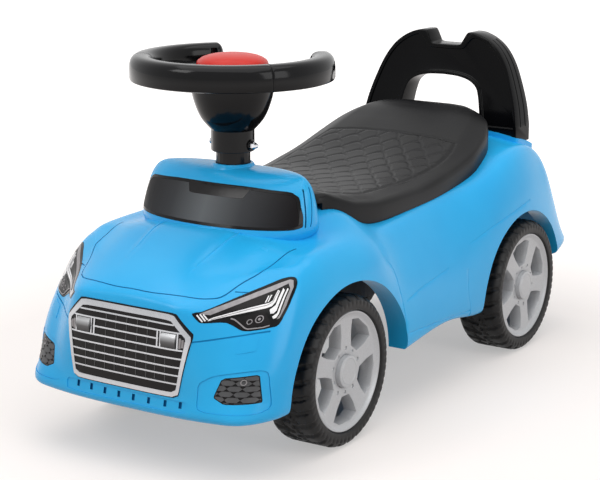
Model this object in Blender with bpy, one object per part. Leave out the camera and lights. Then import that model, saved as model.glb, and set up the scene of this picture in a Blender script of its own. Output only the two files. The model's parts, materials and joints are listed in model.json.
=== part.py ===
"""A child's foot-to-floor ride-on car: moulded shell, lift-up seat over a bin, steered front wheels.

Metres, +Z up, the nose at -Y, the car's left side at +X. The tyres stand on z = 0.
"""
import math

import bmesh
import bpy
from mathutils import Matrix, Vector

for leftover in list(bpy.data.objects):
    bpy.data.objects.remove(leftover)

# Driving dimensions of the whole car
WHEELBASE = 0.372
FRONT_AXLE_Y = -0.1687
NOSE_OVERHANG = 0.1664
TAIL_OVERHANG = 0.132
HALF_WIDTH = 0.1405
SHELL_WALL = 0.003
SURFACE_DETAIL = 0.65
HOLLOW_DETAIL = 0.5
FITTING_ROUNDS = 5
TOUCH_GAP = 0.0003
RUNNING_GAP = 0.0005
SHARP_DEG = 35.0

# Wheels
TYRE_RADIUS = 0.0725
TYRE_WIDTH = 0.052
TYRE_OUTER_X = 0.1363
TYRE_DEPTH = 0.0144
RIM_RADIUS = TYRE_RADIUS - TYRE_DEPTH
RIM_LIP = 0.0235
RIM_BARREL = 0.0043
RIM_FACE = 0.0205
RIM_DISC_BACK = 0.008
SPOKE_COUNT = 5
WHEEL_STEPS = 24
AXLE_RADIUS = 0.004
PIN_STEPS = 16
HUB_RADIUS = 0.0155
HUB_CAP_THICKNESS = 0.003
HUB_CAP_HEIGHT = 0.0107
HUB_FLOOR = 0.0138
HUB_BACK = 0.0285
# The metal left round a wheel window, at the hub, at the rim and at the window's corners
HUB_LAND = 0.005
WINDOW_LAND = 0.0076
WINDOW_SHOULDER = 0.0091
WINDOW_WAIST = 0.62
# One wheel window, half of it: (radius, radians from its middle)
WINDOW_HALF = [(HUB_RADIUS + HUB_LAND, 0.24), (RIM_RADIUS * WINDOW_WAIST, 0.42),
               (RIM_RADIUS - WINDOW_SHOULDER, 0.40)]
WINDOW_CREST = (RIM_RADIUS - WINDOW_LAND, 0.0)
CLIP_RADIUS = 0.0085
CLIP_THICKNESS = 0.004

# Wheel arches, half ellipses over a spring line
ARCH_HALF_WIDTH = 0.1026
ARCH_REAR_HALF_WIDTH = 0.0975
ARCH_REAR_SHIFT = -0.012
ARCH_SPRING_Z = 0.066
ARCH_RISE = 0.0925
ARCH_RETURN_X = 0.117
ARCH_INNER_X = 0.1157

# Grille, lamps and vents
GRILLE_HALF_WIDTH = 0.0708
GRILLE_BOTTOM_Z = 0.0785
GRILLE_TOP_Z = 0.1535
TRIM_THICKNESS = 0.0024

# Steering
COLUMN_Y = -0.1627
COLUMN_RADIUS = 0.0164
COLUMN_BOTTOM_Z = 0.226
ROD_RADIUS = 0.005
COLLAR_TOP_Z = 0.2565
STEERING_HEIGHT = 0.104
BUTTON_TOP_Z = COLLAR_TOP_Z + STEERING_HEIGHT
WHEEL_BOTTOM_Z = BUTTON_TOP_Z - 0.0245
WHEEL_HEIGHT = 0.024
WHEEL_TOP_Z = WHEEL_BOTTOM_Z + WHEEL_HEIGHT
BOWL_HEIGHT = 0.047
BOWL_BOTTOM_Z = WHEEL_BOTTOM_Z - BOWL_HEIGHT
BOWL_RADIUS = 0.0405
BOWL_WALL = 0.0025
SLEEVE_RADIUS = 0.0205
SLEEVE_LENGTH = 0.021
SLEEVE_BOTTOM_Z = BOWL_BOTTOM_Z - SLEEVE_LENGTH
BOLT_Z = SLEEVE_BOTTOM_Z + 0.0065
ROD_TOP_Z = BOWL_BOTTOM_Z - 0.0025
COLUMN_TOP_Z = BOWL_BOTTOM_Z - 0.0005
# The bowl's outer line as shares: (height above its foot, radius beyond the sleeve)
BOWL_SECTION = [(1.0, 1.0), (0.702, 0.90), (0.447, 0.725), (0.234, 0.50), (0.117, 0.30), (0.0, 0.05)]
WHEEL_RADIUS = 0.0969
WHEEL_SECTION = 0.0235
RIM_MIDDLE = (0.5, 0.42)
SPOKE_THICKNESS = 0.008
GRIP_START_DEG = -32.3
GRIP_END_DEG = 43.8
BUTTON_RADIUS = 0.034
KINGPIN_X = 0.072
KINGPIN_RADIUS = 0.005
KNUCKLE_RADIUS = 0.0095
TIE_ROD_Y = -0.1337
TIE_PIN_RADIUS = 0.0025
STEER_LIMIT_DEG = 30.0
KNUCKLE_DROP = 0.011
KINGPIN_PROUD = 0.0045
TIE_BAR_BOTTOM_Z = 0.0700
TIE_BAR_HEIGHT = 0.0055
TIE_BAR_WALL = 0.003
CRANK_THICKNESS = 0.006
BUSH_RADIUS = 0.0085
BOLT_RADIUS = 0.002
BOLT_STEPS = 8
TIE_PIN_STEPS = 12
BOLT_PAD = 0.0012
SPOKE_HALF = 0.012
SPOKE_TOP_Z = WHEEL_BOTTOM_Z + 0.0115
GRIP_WALL = 0.003
GRIP_STEPS = 8
FRONT_ARC_STEPS = 12
RING_FLOOR = 0.003
CORE_ROOT_DEG = 2.0
CORE_STOP_DEG = 4.0
BUTTON_HEIGHT = 0.0145
BUTTON_CROWN_WALL = 0.0045
SPRING_RADIUS = 0.007
SOUND_BOX_TOP_Z = BUTTON_TOP_Z - 0.0405
SPEAKER_RADIUS = 0.016

# Underbody
BEAM_BOTTOM_Z = 0.087
BEAM_HEIGHT = 0.018
BEAM_HALF_DEPTH = 0.018
BEAM_EDGE = 0.0015
BOSS_RADIUS = 0.006
SCREW_RADIUS = 0.0018
SCREW_HEAD_RADIUS = 0.0036
SCREW_STEPS = 8
FRONT_BOSS_X = 0.045
REAR_BOSS_X = 0.052

# Seat, bin and backrest
BIN_HALF_WIDTH = 0.064
BIN_FRONT_Y = -0.030
BIN_REAR_Y = 0.130
BIN_BOTTOM_Z = 0.100
BIN_WALL = 0.0025
BIN_CORNER = 0.012
SEAT_WALL = 0.003
SEAT_HINGE_Y = -0.1272
SEAT_HINGE_Z = 0.2220
HINGE_PIN_RADIUS = 0.0015
HINGE_PIN_HALF = 0.031
HINGE_LUG_X = 0.025
HINGE_LUG_THICKNESS = 0.004
HINGE_LUG_RADIUS = 0.0032
HINGE_EAR_THICKNESS = 0.005
HINGE_ROOT_DEPTH = 0.012
HINGE_SWING_DROP = 0.003
EYE_STEPS = 8
LEG_INNER_X = 0.054
LEG_OUTER_X = 0.099
BACKREST_Y = 0.2398
BACKREST_DEPTH = 0.034
BACKREST_TOP_DEPTH = 0.025
BACKREST_LEAN = 0.0185
BACKREST_BASE_Z = 0.222
BACKREST_LEAN_Z = 0.240
BACKREST_TOP_Z = 0.340
COLLAR_WALL = 0.0035
COLLAR_RISE = 0.005
BOSS_SCREW_TOP_Z = 0.118
BIN_FLANGE = 0.006
SEAT_REST_GAP = 0.0004
SEAT_EAR_TOP_Z = 0.2265
CARRIER_EAR = 0.012
CARRIER_EAR_HALF = 0.010
# Below the deck, over the deck, over the cowl and past the widest point: how far the cutters reach
UNDER_DECK_Z = 0.150
OVER_DECK_Z = 0.240
OVER_COWL_Z = 0.270
COLLAR_FOOT_Z = 0.190
COLLAR_TOP_LIMIT_Z = 0.2375
BIN_FLANGE_FOOT_Z = 0.170
SEAT_FLOOR_Z = 0.170
DROP = 0.02
PAST = 0.01
# The backrest from its foot round to the notch, and from the hand hole's crown down to the foot:
# (x, how far below the top)
BACKREST_OUTER = [
    (0.0945, 0.0780), (0.0870, 0.0550), (0.0780, 0.0340), (0.0670, 0.0180), (0.0540, 0.0075),
    (0.0400, 0.0015), (0.0290, 0.0), (0.0250, 0.0020), (0.0205, 0.0100), (0.0165, 0.0145), (0.0, 0.0150),
]
BACKREST_INNER = [
    (0.0, 0.0485), (0.0180, 0.0495), (0.0330, 0.0530), (0.0430, 0.0600), (0.0475, 0.0710), (0.0510, 0.0880),
]

REAR_AXLE_Y = FRONT_AXLE_Y + WHEELBASE
NOSE_Y = FRONT_AXLE_Y - NOSE_OVERHANG
TAIL_Y = REAR_AXLE_Y + TAIL_OVERHANG
CENTRE = 4
CORNER_FRONT = 4
CORNER_REAR = 16
LAST_COLUMN = 20

# The shell's surface, one list of rings for each column, from the lower lip up to the shoulder.
# Nose columns hold (x, set back from the nose, z), tail columns (x, set forward from the tail, z).
NOSE_COLUMNS = [
    [(0, .0146, .055), (0, 0, .062), (0, .001, .078), (0, .003, .112), (0, .008, .150),
     (0, .0135, .164), (0, .0295, .1725)],
    [(.035, .0155, .055), (.035, 0, .062), (.035, .0012, .078), (.035, .0033, .112), (.035, .0083, .150),
     (.035, .0145, .163), (.035, .0315, .172)],
    [(.066, .0185, .055), (.068, .002, .062), (.0685, .004, .078), (.070, .0065, .110), (.066, .0115, .148),
     (.063, .0185, .161), (.062, .0375, .170)],
    [(.090, .0245, .055), (.094, .006, .062), (.093, .0095, .079), (.093, .0205, .110), (.092, .0345, .142),
     (.090, .0495, .163), (.086, .0675, .1775)],
    [(.110, .0355, .056), (.117, .0145, .062), (.1165, .0205, .080), (.116, .0315, .110), (.114, .0505, .143),
     (.111, .0695, .167), (.106, .0875, .182)],
    [(.127, .0595, .058), (.1335, .0415, .063), (.134, .0445, .082), (.134, .0515, .110), (.131, .0675, .142),
     (.126, .0845, .168), (.117, .0995, .185)],
    [(.133, .0825, .061), (.137, .0755, .066), (.1385, .0755, .084), (.139, .0785, .112),
     (.1365, .0875, .143),
     (.131, .0995, .170), (.119, .1125, .188)],
]
TAIL_COLUMNS = [
    [(.120, .032, .092), (.127, .020, .099), (.1265, .023, .111), (.1255, .034, .130), (.1225, .0455, .160),
     (.117, .055, .190), (.104, .066, .2135)],
    [(.097, .0185, .092), (.102, .0065, .099), (.1015, .0095, .111), (.100, .0205, .130), (.098, .0325, .160),
     (.093, .0425, .190), (.082, .054, .2185)],
    [(.054, .013, .092), (.056, .001, .099), (.056, .004, .111), (.055, .0145, .130), (.054, .0255, .160),
     (.051, .0355, .190), (.048, .0495, .2205)],
    [(0, .012, .092), (0, 0, .099), (0, .003, .111), (0, .0135, .130), (0, .0245, .160), (0, .0345, .190),
     (0, .048, .221)],
]
# Flank columns: the axle they stand by, how far behind it, then (set in from the half width, z) for each
# ring.
FLANK_COLUMNS = [
    ("front", -.041, [(.0055, .064), (.002, .070), (.0005, .088), (0, .115), (.0015, .146), (.007, .173),
                      (.0195, .1905)]),
    ("front", 0, [(.0055, .064), (.002, .070), (.0005, .088), (0, .115), (.0015, .147), (.0070, .174),
                  (.0195, .1925)]),
    ("front", .054, [(.006, .066), (.0025, .072), (.001, .090), (.0005, .117), (.002, .147), (.0075, .173),
                     (.0215, .190)]),
    ("front", .092, [(.0055, .067), (.002, .072), (.001, .088), (.0015, .110), (.0065, .138), (.0155, .163),
                     (.0285, .184)]),
    ("front", .149, [(.0055, .0735), (.002, .078), (.0015, .092), (.0035, .112), (.0095, .138), (.0195, .163),
                     (.0315, .185)]),
    ("rear", -.168, [(.0055, .0745), (.002, .079), (.0015, .093), (.0035, .113), (.0095, .139), (.0195, .165),
                     (.0315, .188)]),
    ("rear", -.115, [(.006, .067), (.002, .073), (.001, .091), (.0015, .114), (.0055, .143), (.0135, .171),
                     (.0275, .194)]),
    ("rear", -.063, [(.0055, .072), (.002, .079), (.0005, .096), (0, .120), (.0015, .150), (.0075, .181),
                     (.0215, .2045)]),
    ("rear", 0, [(.0055, .078), (.002, .085), (.0005, .101), (0, .124), (.002, .155), (.0085, .190),
                 (.0215, .2195)]),
    ("rear", .049, [(.0075, .086), (.0035, .091), (.002, .105), (.003, .127), (.0075, .157), (.0155, .189),
                    (.0275, .2155)]),
]
# The top between the shoulders: three points and the centre for each row, from the shoulder inwards.
# Each is (x, how far behind the row's axle, z).
TOP_ROWS = {
    5: ("front", [(.094, -.081, .183), (.066, -.103, .1815), (.035, -.113, .181), (0, -.115, .1815)]),
    6: ("front", [(.097, -.061, .189), (.070, -.073, .1925), (.036, -.077, .194), (0, -.078, .194)]),
    7: ("front", [(.100, -.041, .1935), (.075, -.044, .199), (.040, -.046, .2025), (0, -.046, .203)]),
    8: ("front", [(.101, 0, .1955), (.075, 0, .201), (.040, 0, .204), (0, 0, .204)]),
    9: ("front", [(.101, .054, .203), (.084, .054, .213), (.045, .054, .2145), (0, .054, .2145)]),
    10: ("front", [(.099, .092, .190), (.076, .092, .1915), (.040, .092, .1915), (0, .092, .1915)]),
    11: ("front", [(.096, .149, .1905), (.072, .149, .191), (.040, .149, .191), (0, .149, .191)]),
    12: ("rear", [(.096, -.168, .1945), (.072, -.168, .195), (.040, -.168, .195), (0, -.168, .195)]),
    13: ("rear", [(.099, -.115, .1995), (.074, -.115, .200), (.040, -.115, .200), (0, -.115, .200)]),
    14: ("rear", [(.101, -.063, .209), (.076, -.063, .210), (.040, -.063, .210), (0, -.063, .210)]),
    15: ("rear", [(.101, 0, .2265), (.075, 0, .229), (.040, 0, .2295), (0, 0, .2295)]),
}
# The cowl's rings, front centre round the side to the rear centre: (x, behind the front axle), at one height.
COWL_RINGS = [
    (.183, [(0, -.062), (.045, -.058), (.081, -.042), (.1010, -.020), (.1000, .022), (.075, .030),
            (0, .034)]),
    (.206, [(0, -.053), (.044, -.0485), (.079, -.034), (.0990, -.013), (.0985, .0165), (.074, .029),
            (0, .033)]),
    (.226, [(0, -.0395), (.043, -.0365), (.077, -.0265), (.0970, -.008), (.0965, .0105), (.073, .0275),
            (0, .032)]),
    (.243, [(0, -.029), (.042, -.0265), (.074, -.0185), (.0930, -.003), (.0935, .0055), (.072, .026),
            (0, .031)]),
    (.2525, [(0, -.018), (.040, -.0165), (.066, -.010), (.083, .000), (.084, .004), (.066, .0225),
             (0, .0285)]),
]
COWL_ROOF_Z = COLLAR_TOP_Z - 0.002
# The seat's outer surface: behind the front axle, edge x, and heights at edge, shoulder, panel and centre.
SEAT_ROWS = [
    (.0355, .0735, .2215, .2245, .2250, .2250),
    (.0390, .0765, .2225, .2275, .2285, .2285),
    (.0460, .0800, .2205, .2275, .2290, .2290),
    (.060, .0855, .2165, .2235, .2255, .2260),
    (.087, .0930, .2080, .2150, .2190, .2195),
    (.126, .0985, .2040, .2110, .2140, .2145),
    (.186, .1015, .2045, .2115, .2150, .2155),
    (.246, .1035, .2100, .2185, .2225, .2235),
    (.296, .1035, .2190, .2290, .2350, .2365),
    (.336, .0985, .2310, .2420, .2485, .2505),
    (.366, .0860, .2440, .2535, .2590, .2605),
    (.386, .0580, .2530, .2600, .2635, .2645),
    (.392, .0420, .2510, .2570, .2600, .2605),
]


def front(distance):
    return FRONT_AXLE_Y + distance


def rear(distance):
    return REAR_AXLE_Y + distance


def beside(axle, distance):
    return front(distance) if axle == "front" else rear(distance)


# Materials
def material(name, colour, roughness=0.4, metallic=0.0):
    made = bpy.data.materials.get(name) or bpy.data.materials.new(name)
    made.use_nodes = True
    shader = made.node_tree.nodes["Principled BSDF"]
    shader.inputs["Base Color"].default_value = (*colour, 1.0)
    shader.inputs["Roughness"].default_value = roughness
    shader.inputs["Metallic"].default_value = metallic
    made.diffuse_color = (*colour, 1.0)
    return made


SKY_BLUE = material("sky_blue_plastic", (0.058, 0.445, 0.846), 0.28)
BLACK_GLOSS = material("gloss_black_plastic", (0.006, 0.006, 0.008), 0.15)
BLACK_SATIN = material("satin_black_plastic", (0.018, 0.018, 0.020), 0.45)
TYRE_BLACK = material("black_tyre_plastic", (0.012, 0.012, 0.014), 0.5)
RIM_GREY = material("silver_grey_plastic", (0.40, 0.41, 0.42), 0.35, 0.3)
BUTTON_RED = material("red_plastic", (0.80, 0.035, 0.022), 0.4)
GRILLE_FOIL = material("grille_foil", (0.05, 0.05, 0.055), 0.3, 0.4)
LAMP_FOIL = material("lamp_foil", (0.10, 0.10, 0.11), 0.25, 0.2)
SCREEN_FOIL = material("screen_foil", (0.03, 0.03, 0.032), 0.25)
STEEL = material("zinc_plated_steel", (0.55, 0.56, 0.58), 0.3, 1.0)
GREY_PLASTIC = material("dark_grey_plastic", (0.06, 0.06, 0.065), 0.5)


# Mesh helpers
def smooth_shaded(mesh):
    mesh.shade_smooth()
    mesh.set_sharp_from_angle(angle=math.radians(SHARP_DEG))


def add_object(name, mesh, finish):
    made = bpy.data.objects.new(name, mesh)
    bpy.context.scene.collection.objects.link(made)
    mesh.materials.clear()
    mesh.materials.append(finish)
    smooth_shaded(mesh)
    return made


def mesh_from(name, points, faces):
    work = bmesh.new()
    corners = [work.verts.new(point) for point in points]
    for face in faces:
        work.faces.new([corners[index] for index in face])
    bmesh.ops.recalc_face_normals(work, faces=work.faces)
    mesh = bpy.data.meshes.new(name)
    work.to_mesh(mesh)
    work.free()
    return mesh


def evaluated_mesh(thing):
    graph = bpy.context.evaluated_depsgraph_get()
    graph.update()
    return bpy.data.meshes.new_from_object(thing.evaluated_get(graph))


def apply_modifiers(thing):
    mesh = evaluated_mesh(thing)
    thing.modifiers.clear()
    thing.data = mesh


def thinned(thing, share):
    """The same solid with a share of its faces, for the inside of the shell."""
    modifier = thing.modifiers.new("thin_out", "DECIMATE")
    modifier.ratio = share
    modifier.use_symmetry = True
    modifier.symmetry_axis = "X"
    apply_modifiers(thing)
    return thing


def discard(thing):
    bpy.data.objects.remove(thing)


def tidy_mesh(mesh):
    """Closes the hair-thin slivers that a Boolean can leave."""
    within = 2e-6
    work = bmesh.new()
    work.from_mesh(mesh)
    bmesh.ops.remove_doubles(work, verts=work.verts, dist=within)
    bmesh.ops.dissolve_degenerate(work, edges=work.edges, dist=within)
    slits = [edge for edge in work.edges if edge.is_boundary]
    bmesh.ops.holes_fill(work, edges=slits, sides=4)
    work.to_mesh(mesh)
    work.free()


def combine(thing, tools, operation):
    for tool in tools if isinstance(tools, list) else [tools]:
        modifier = thing.modifiers.new("combine", "BOOLEAN")
        modifier.operation = operation
        modifier.solver = "EXACT"
        modifier.object = tool
        apply_modifiers(thing)
        tidy_mesh(thing.data)
        discard(tool)
    smooth_shaded(thing.data)
    return thing


def cut(thing, tools):
    return combine(thing, tools, "DIFFERENCE")


def weld(thing, tools):
    return combine(thing, tools, "UNION")


def keep_inside(thing, tools):
    return combine(thing, tools, "INTERSECT")


def duplicate(thing, name):
    made = bpy.data.objects.new(name, thing.data.copy())
    bpy.context.scene.collection.objects.link(made)
    return made


def frame_for(axis):
    """A matrix whose Z runs along the named axis, with a right-handed X and Y."""
    if axis == "x":
        return Matrix(((0, 0, 1), (1, 0, 0), (0, 1, 0)))
    if axis == "y":
        return Matrix(((1, 0, 0), (0, 0, -1), (0, 1, 0)))
    return Matrix.Identity(3)


def turned(name, profile, centre, finish, axis="z", steps=32):
    """A closed solid turned from (radius, height) points, top to bottom down its outside."""
    turn = frame_for(axis)
    points = []
    faces = []
    rings = []
    for radius, height in profile:
        if radius < 1e-7:
            rings.append([len(points)])
            points.append(turn @ Vector((0, 0, height)))
            continue
        rings.append(list(range(len(points), len(points) + steps)))
        for step in range(steps):
            angle = math.tau * step / steps
            points.append(turn @ Vector((radius * math.cos(angle), radius * math.sin(angle), height)))
    closed = profile[0][0] > 1e-7
    pairs = list(zip(rings, rings[1:] + rings[:1])) if closed else list(zip(rings, rings[1:]))
    for upper, lower in pairs:
        for step in range(steps):
            after = (step + 1) % steps
            face = [upper[step % len(upper)], lower[step % len(lower)], lower[after % len(lower)],
                    upper[after % len(upper)]]
            faces.append([index for place, index in enumerate(face) if index not in face[:place]])
    made = add_object(name, mesh_from(name, points, faces), finish)
    made.location = centre
    return freeze(made)


def freeze(thing):
    """Puts the object's place in its mesh."""
    thing.data.transform(thing.matrix_basis)
    thing.matrix_basis = Matrix.Identity(4)
    return thing


def set_origin(thing, point):
    """Moves the object's origin to a point and leaves the solid where it is."""
    thing.data.transform(Matrix.Translation(-Vector(point)))
    thing.location = point
    return thing


def cylinder(name, radius, low, high, centre, finish, axis="z", steps=24):
    """A round bar from low to high along its axis; centre gives the other two coordinates."""
    profile = [(0, high), (radius, high), (radius, low), (0, low)]
    return turned(name, profile, centre, finish, axis, steps)


def box(name, low, high, finish, bevel=0.0):
    size = [far - near for near, far in zip(low, high)]
    middle = [(far + near) / 2 for near, far in zip(low, high)]
    work = bmesh.new()
    bmesh.ops.create_cube(work, size=1.0)
    bmesh.ops.scale(work, vec=size, verts=work.verts)
    bmesh.ops.translate(work, vec=middle, verts=work.verts)
    if bevel:
        bmesh.ops.bevel(work, geom=work.edges[:], offset=bevel, segments=1, affect="EDGES")
    mesh = bpy.data.meshes.new(name)
    work.to_mesh(mesh)
    work.free()
    return add_object(name, mesh, finish)


def prism(name, outline, low, high, finish, axis="z"):
    """A flat outline extruded along an axis. The outline is (y, z) for x, (x, z) for y, (x, y) for z."""
    place = {
        "x": lambda across, up, along: (along, across, up),
        "y": lambda across, up, along: (across, along, up),
        "z": lambda across, up, along: (across, up, along),
    }[axis]
    count = len(outline)
    points = [place(across, up, low) for across, up in outline]
    points += [place(across, up, high) for across, up in outline]
    faces = [list(range(count)), list(range(2 * count - 1, count - 1, -1))]
    for index in range(count):
        after = (index + 1) % count
        faces.append([index, after, count + after, count + index])
    return add_object(name, mesh_from(name, points, faces), finish)


def skin(name, rings, finish):
    """A closed solid through rings of equal length, capped at both ends."""
    count = len(rings[0])
    points = [point for ring in rings for point in ring]
    faces = []
    for level in range(len(rings) - 1):
        for index in range(count):
            after = (index + 1) % count
            low = level * count
            faces.append([low + index, low + after, low + count + after, low + count + index])
    faces.append(list(range(count)))
    faces.append(list(range(len(points) - count, len(points))))
    return add_object(name, mesh_from(name, points, faces), finish)


def mirrored(thing, name):
    """The same piece on the car's right side."""
    made = duplicate(thing, name)
    made.data.transform(thing.matrix_basis)
    made.data.transform(Matrix.Diagonal((-1, 1, 1, 1)))
    made.data.flip_normals()
    place = thing.location
    return set_origin(made, (-place.x, place.y, place.z))


# The shell's smooth surface
def shell_columns():
    columns = [[(x, NOSE_Y + back, z) for x, back, z in rings] for rings in NOSE_COLUMNS]
    for axle, behind, rings in FLANK_COLUMNS:
        columns.append([(HALF_WIDTH - inset, beside(axle, behind), z) for inset, z in rings])
    columns += [[(x, TAIL_Y - ahead, z) for x, ahead, z in rings] for rings in TAIL_COLUMNS]
    return columns


def top_point(columns, row, step):
    """A point of the top: step 0 is the shoulder and step CENTRE is the car's centre line."""
    if row == CORNER_FRONT:
        return columns[CORNER_FRONT - step][-1]
    if row == CORNER_REAR:
        return columns[CORNER_REAR + step][-1]
    if step == 0:
        return columns[row][-1]
    axle, points = TOP_ROWS[row]
    x, behind, z = points[step - 1]
    return (x, beside(axle, behind), z)


class Cage:
    """Points shared by the quads of both sides."""

    def __init__(self):
        self.points = []
        self.faces = []
        self.known = {}

    def corner(self, point):
        key = tuple(round(value, 6) for value in point)
        if key not in self.known:
            self.known[key] = len(self.points)
            self.points.append(point)
        return self.known[key]

    def quad(self, corners):
        for side in (1, -1):
            places = [self.corner((side * x if x else 0, y, z)) for x, y, z in corners]
            self.faces.append(places if side > 0 else places[::-1])


def shell_cage():
    columns = shell_columns()
    cage = Cage()
    for column in range(LAST_COLUMN):
        here = columns[column]
        after = columns[column + 1]
        for ring in range(len(here) - 1):
            cage.quad([here[ring], after[ring], after[ring + 1], here[ring + 1]])
    for row in range(CORNER_FRONT, CORNER_REAR):
        for step in range(CENTRE):
            cage.quad([
                top_point(columns, row, step), top_point(columns, row + 1, step),
                top_point(columns, row + 1, step + 1), top_point(columns, row, step + 1),
            ])
    return cage


def smooth_through(name, cage, finish):
    """A subdivided surface pulled until it passes through the cage's own points."""
    thing = add_object(name, mesh_from(name, cage.points, cage.faces), finish)
    goals = [Vector(point) for point in cage.points]
    thing.modifiers.new("smooth", "SUBSURF").levels = 1
    for _ in range(FITTING_ROUNDS):
        reached = evaluated_mesh(thing)
        for vertex, goal, now in zip(thing.data.vertices, goals, reached.vertices):
            vertex.co += goal - now.co
        thing.data.update()
    apply_modifiers(thing)
    return thing


def close_below(thing, drop=0.0, inset=0.0):
    """Closes the open underside straight across, between each rim point and its mirror image."""
    work = bmesh.new()
    work.from_mesh(thing.data)
    work.normal_update()
    if inset:
        moves = [(vertex, vertex.normal * inset) for vertex in work.verts]
        for vertex, move in moves:
            vertex.co -= move
            if abs(vertex.co.x) < inset:
                vertex.co.x = 0 if abs(vertex.co.x) < 1e-5 else vertex.co.x
    rim = [edge for edge in work.edges if edge.is_boundary]
    corners = {vertex for edge in rim for vertex in edge.verts}
    for vertex in corners:
        vertex.co.z -= drop
    other = {}
    for vertex in corners:
        image = Vector((-vertex.co.x, vertex.co.y, vertex.co.z))
        other[vertex] = min(corners, key=lambda corner: (corner.co - image).length_squared)
    for edge in rim:
        here, after = edge.verts
        if here.co.x + after.co.x <= 0:
            continue
        face = [here, after, other[after], other[here]]
        face = [vertex for place, vertex in enumerate(face) if vertex not in face[:place]]
        work.faces.new(face)
    bmesh.ops.recalc_face_normals(work, faces=work.faces)
    work.to_mesh(thing.data)
    work.free()
    return thing


def cowl_solid(name, inset, roof_drop=0.0, sink=0.0):
    """The hump that carries the windscreen and the column, or its hollow when inset."""
    rings = []
    heights = COWL_RINGS + [(COWL_ROOF_Z, None)]
    for place, (height, half) in enumerate(heights):
        if half is None:
            inner = COWL_RINGS[-1][1]
            half = [(x * 0.8, front_gap * 0.6 + 0.002) for x, front_gap in inner]
        last = place >= len(heights) - 2
        level = height - (roof_drop if last else 0) - (sink if place == 0 else 0)
        sides = []
        for index, (x, behind) in enumerate(half):
            forward = 1 if index < 4 else -1
            narrow = x - inset if x > inset else 0
            sides.append((narrow, front(behind + forward * inset), level))
        whole = sides + [(-x, y, z) for x, y, z in sides[-2:0:-1]]
        rings.append(whole)
    return skin(name, rings, SKY_BLUE)


def flat_faced(thing):
    """Bent four-sided faces split across their shorter diagonal, so that every face is flat."""
    work = bmesh.new()
    work.from_mesh(thing.data)
    bmesh.ops.triangulate(work, faces=work.faces, quad_method="SHORT_EDGE")
    work.to_mesh(thing.data)
    work.free()
    return thing


def soften(thing):
    thing.modifiers.new("smooth", "SUBSURF").levels = 1
    apply_modifiers(thing)
    return thing


# Wheel arches
def arch_outline(half_width, rise, below, steps=16):
    """A half ellipse over the spring line, carried straight down."""
    outline = [(-half_width, below)]
    for step in range(steps + 1):
        angle = math.pi - math.pi * step / steps
        outline.append((half_width * math.cos(angle), ARCH_SPRING_Z + rise * math.sin(angle)))
    outline.append((half_width, below))
    return outline


def arch_cutters(grow, inner_x, outer_x, below):
    """Four arch prisms, two on each side."""
    made = []
    for side in (1, -1):
        for label, centre_y, half_width in (
            ("front", FRONT_AXLE_Y, ARCH_HALF_WIDTH),
            ("rear", REAR_AXLE_Y + ARCH_REAR_SHIFT, ARCH_REAR_HALF_WIDTH),
        ):
            outline = [(centre_y + y, z) for y, z in arch_outline(half_width + grow, ARCH_RISE + grow, below)]
            low, high = sorted((side * inner_x, side * outer_x))
            made.append(prism(f"arch_{label}_{side}", outline, low, high, SKY_BLUE, "x"))
    return made


def rounded_rectangle(half_x, low_y, high_y, radius, steps=4):
    outline = []
    for centre_x, centre_y, start in (
        (half_x - radius, high_y - radius, 0), (-half_x + radius, high_y - radius, 90),
        (-half_x + radius, low_y + radius, 180), (half_x - radius, low_y + radius, 270),
    ):
        for step in range(steps + 1):
            angle = math.radians(start + 90 * step / steps)
            outline.append((centre_x + radius * math.cos(angle), centre_y + radius * math.sin(angle)))
    return outline


# The shell and what is set flush into it
def round_cutter(name, radius, low, high, centre, axis="z", steps=24):
    return cylinder(name, radius, low, high, centre, SKY_BLUE, axis, steps)


class Surface:
    """The shell's outer surface and the cowl's, at any distance in or out."""

    def __init__(self):
        smooth = smooth_through("shell_surface", shell_cage(), SKY_BLUE)
        self.body = flat_faced(thinned(flat_faced(smooth), SURFACE_DETAIL))

    def solid(self, name, inset, drop=0.0):
        body = close_below(duplicate(self.body, name), drop=drop, inset=inset)
        cowl = flat_faced(soften(cowl_solid(f"{name}_cowl", inset, roof_drop=inset, sink=max(drop, 0) / 2)))
        return weld(body, cowl)

    def layer(self, region, inside, outside):
        """The part of a region that lies between two distances from the surface, outwards positive."""
        keep_inside(region, self.solid("outer_face", -outside))
        return cut(region, self.solid("inner_face", -inside, drop=DROP))


def octagon(half_width, bottom, top, corner, foot):
    """The grille's outline: cut upper corners and sides drawn in towards the foot."""
    return [
        (foot, bottom), (half_width, top - corner), (half_width - corner, top),
        (-half_width + corner, top), (-half_width, top - corner), (-foot, bottom),
    ]


def grown(outline, distance):
    """A convex outline moved outwards by a distance, or inwards when negative."""
    count = len(outline)
    area = sum(outline[i][0] * outline[(i + 1) % count][1] - outline[(i + 1) % count][0] * outline[i][1]
               for i in range(count))
    turn = 1 if area > 0 else -1
    moved = []
    for index in range(count):
        before = Vector(outline[index - 1])
        here = Vector(outline[index])
        after = Vector(outline[(index + 1) % count])
        way_in = (here - before).normalized()
        way_out = (after - here).normalized()
        normal_in = Vector((way_in.y, -way_in.x)) * turn
        normal_out = Vector((way_out.y, -way_out.x)) * turn
        bisector = (normal_in + normal_out).normalized()
        moved.append(tuple(here + bisector * (distance / max(bisector.dot(normal_in), 0.4))))
    return moved


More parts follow.
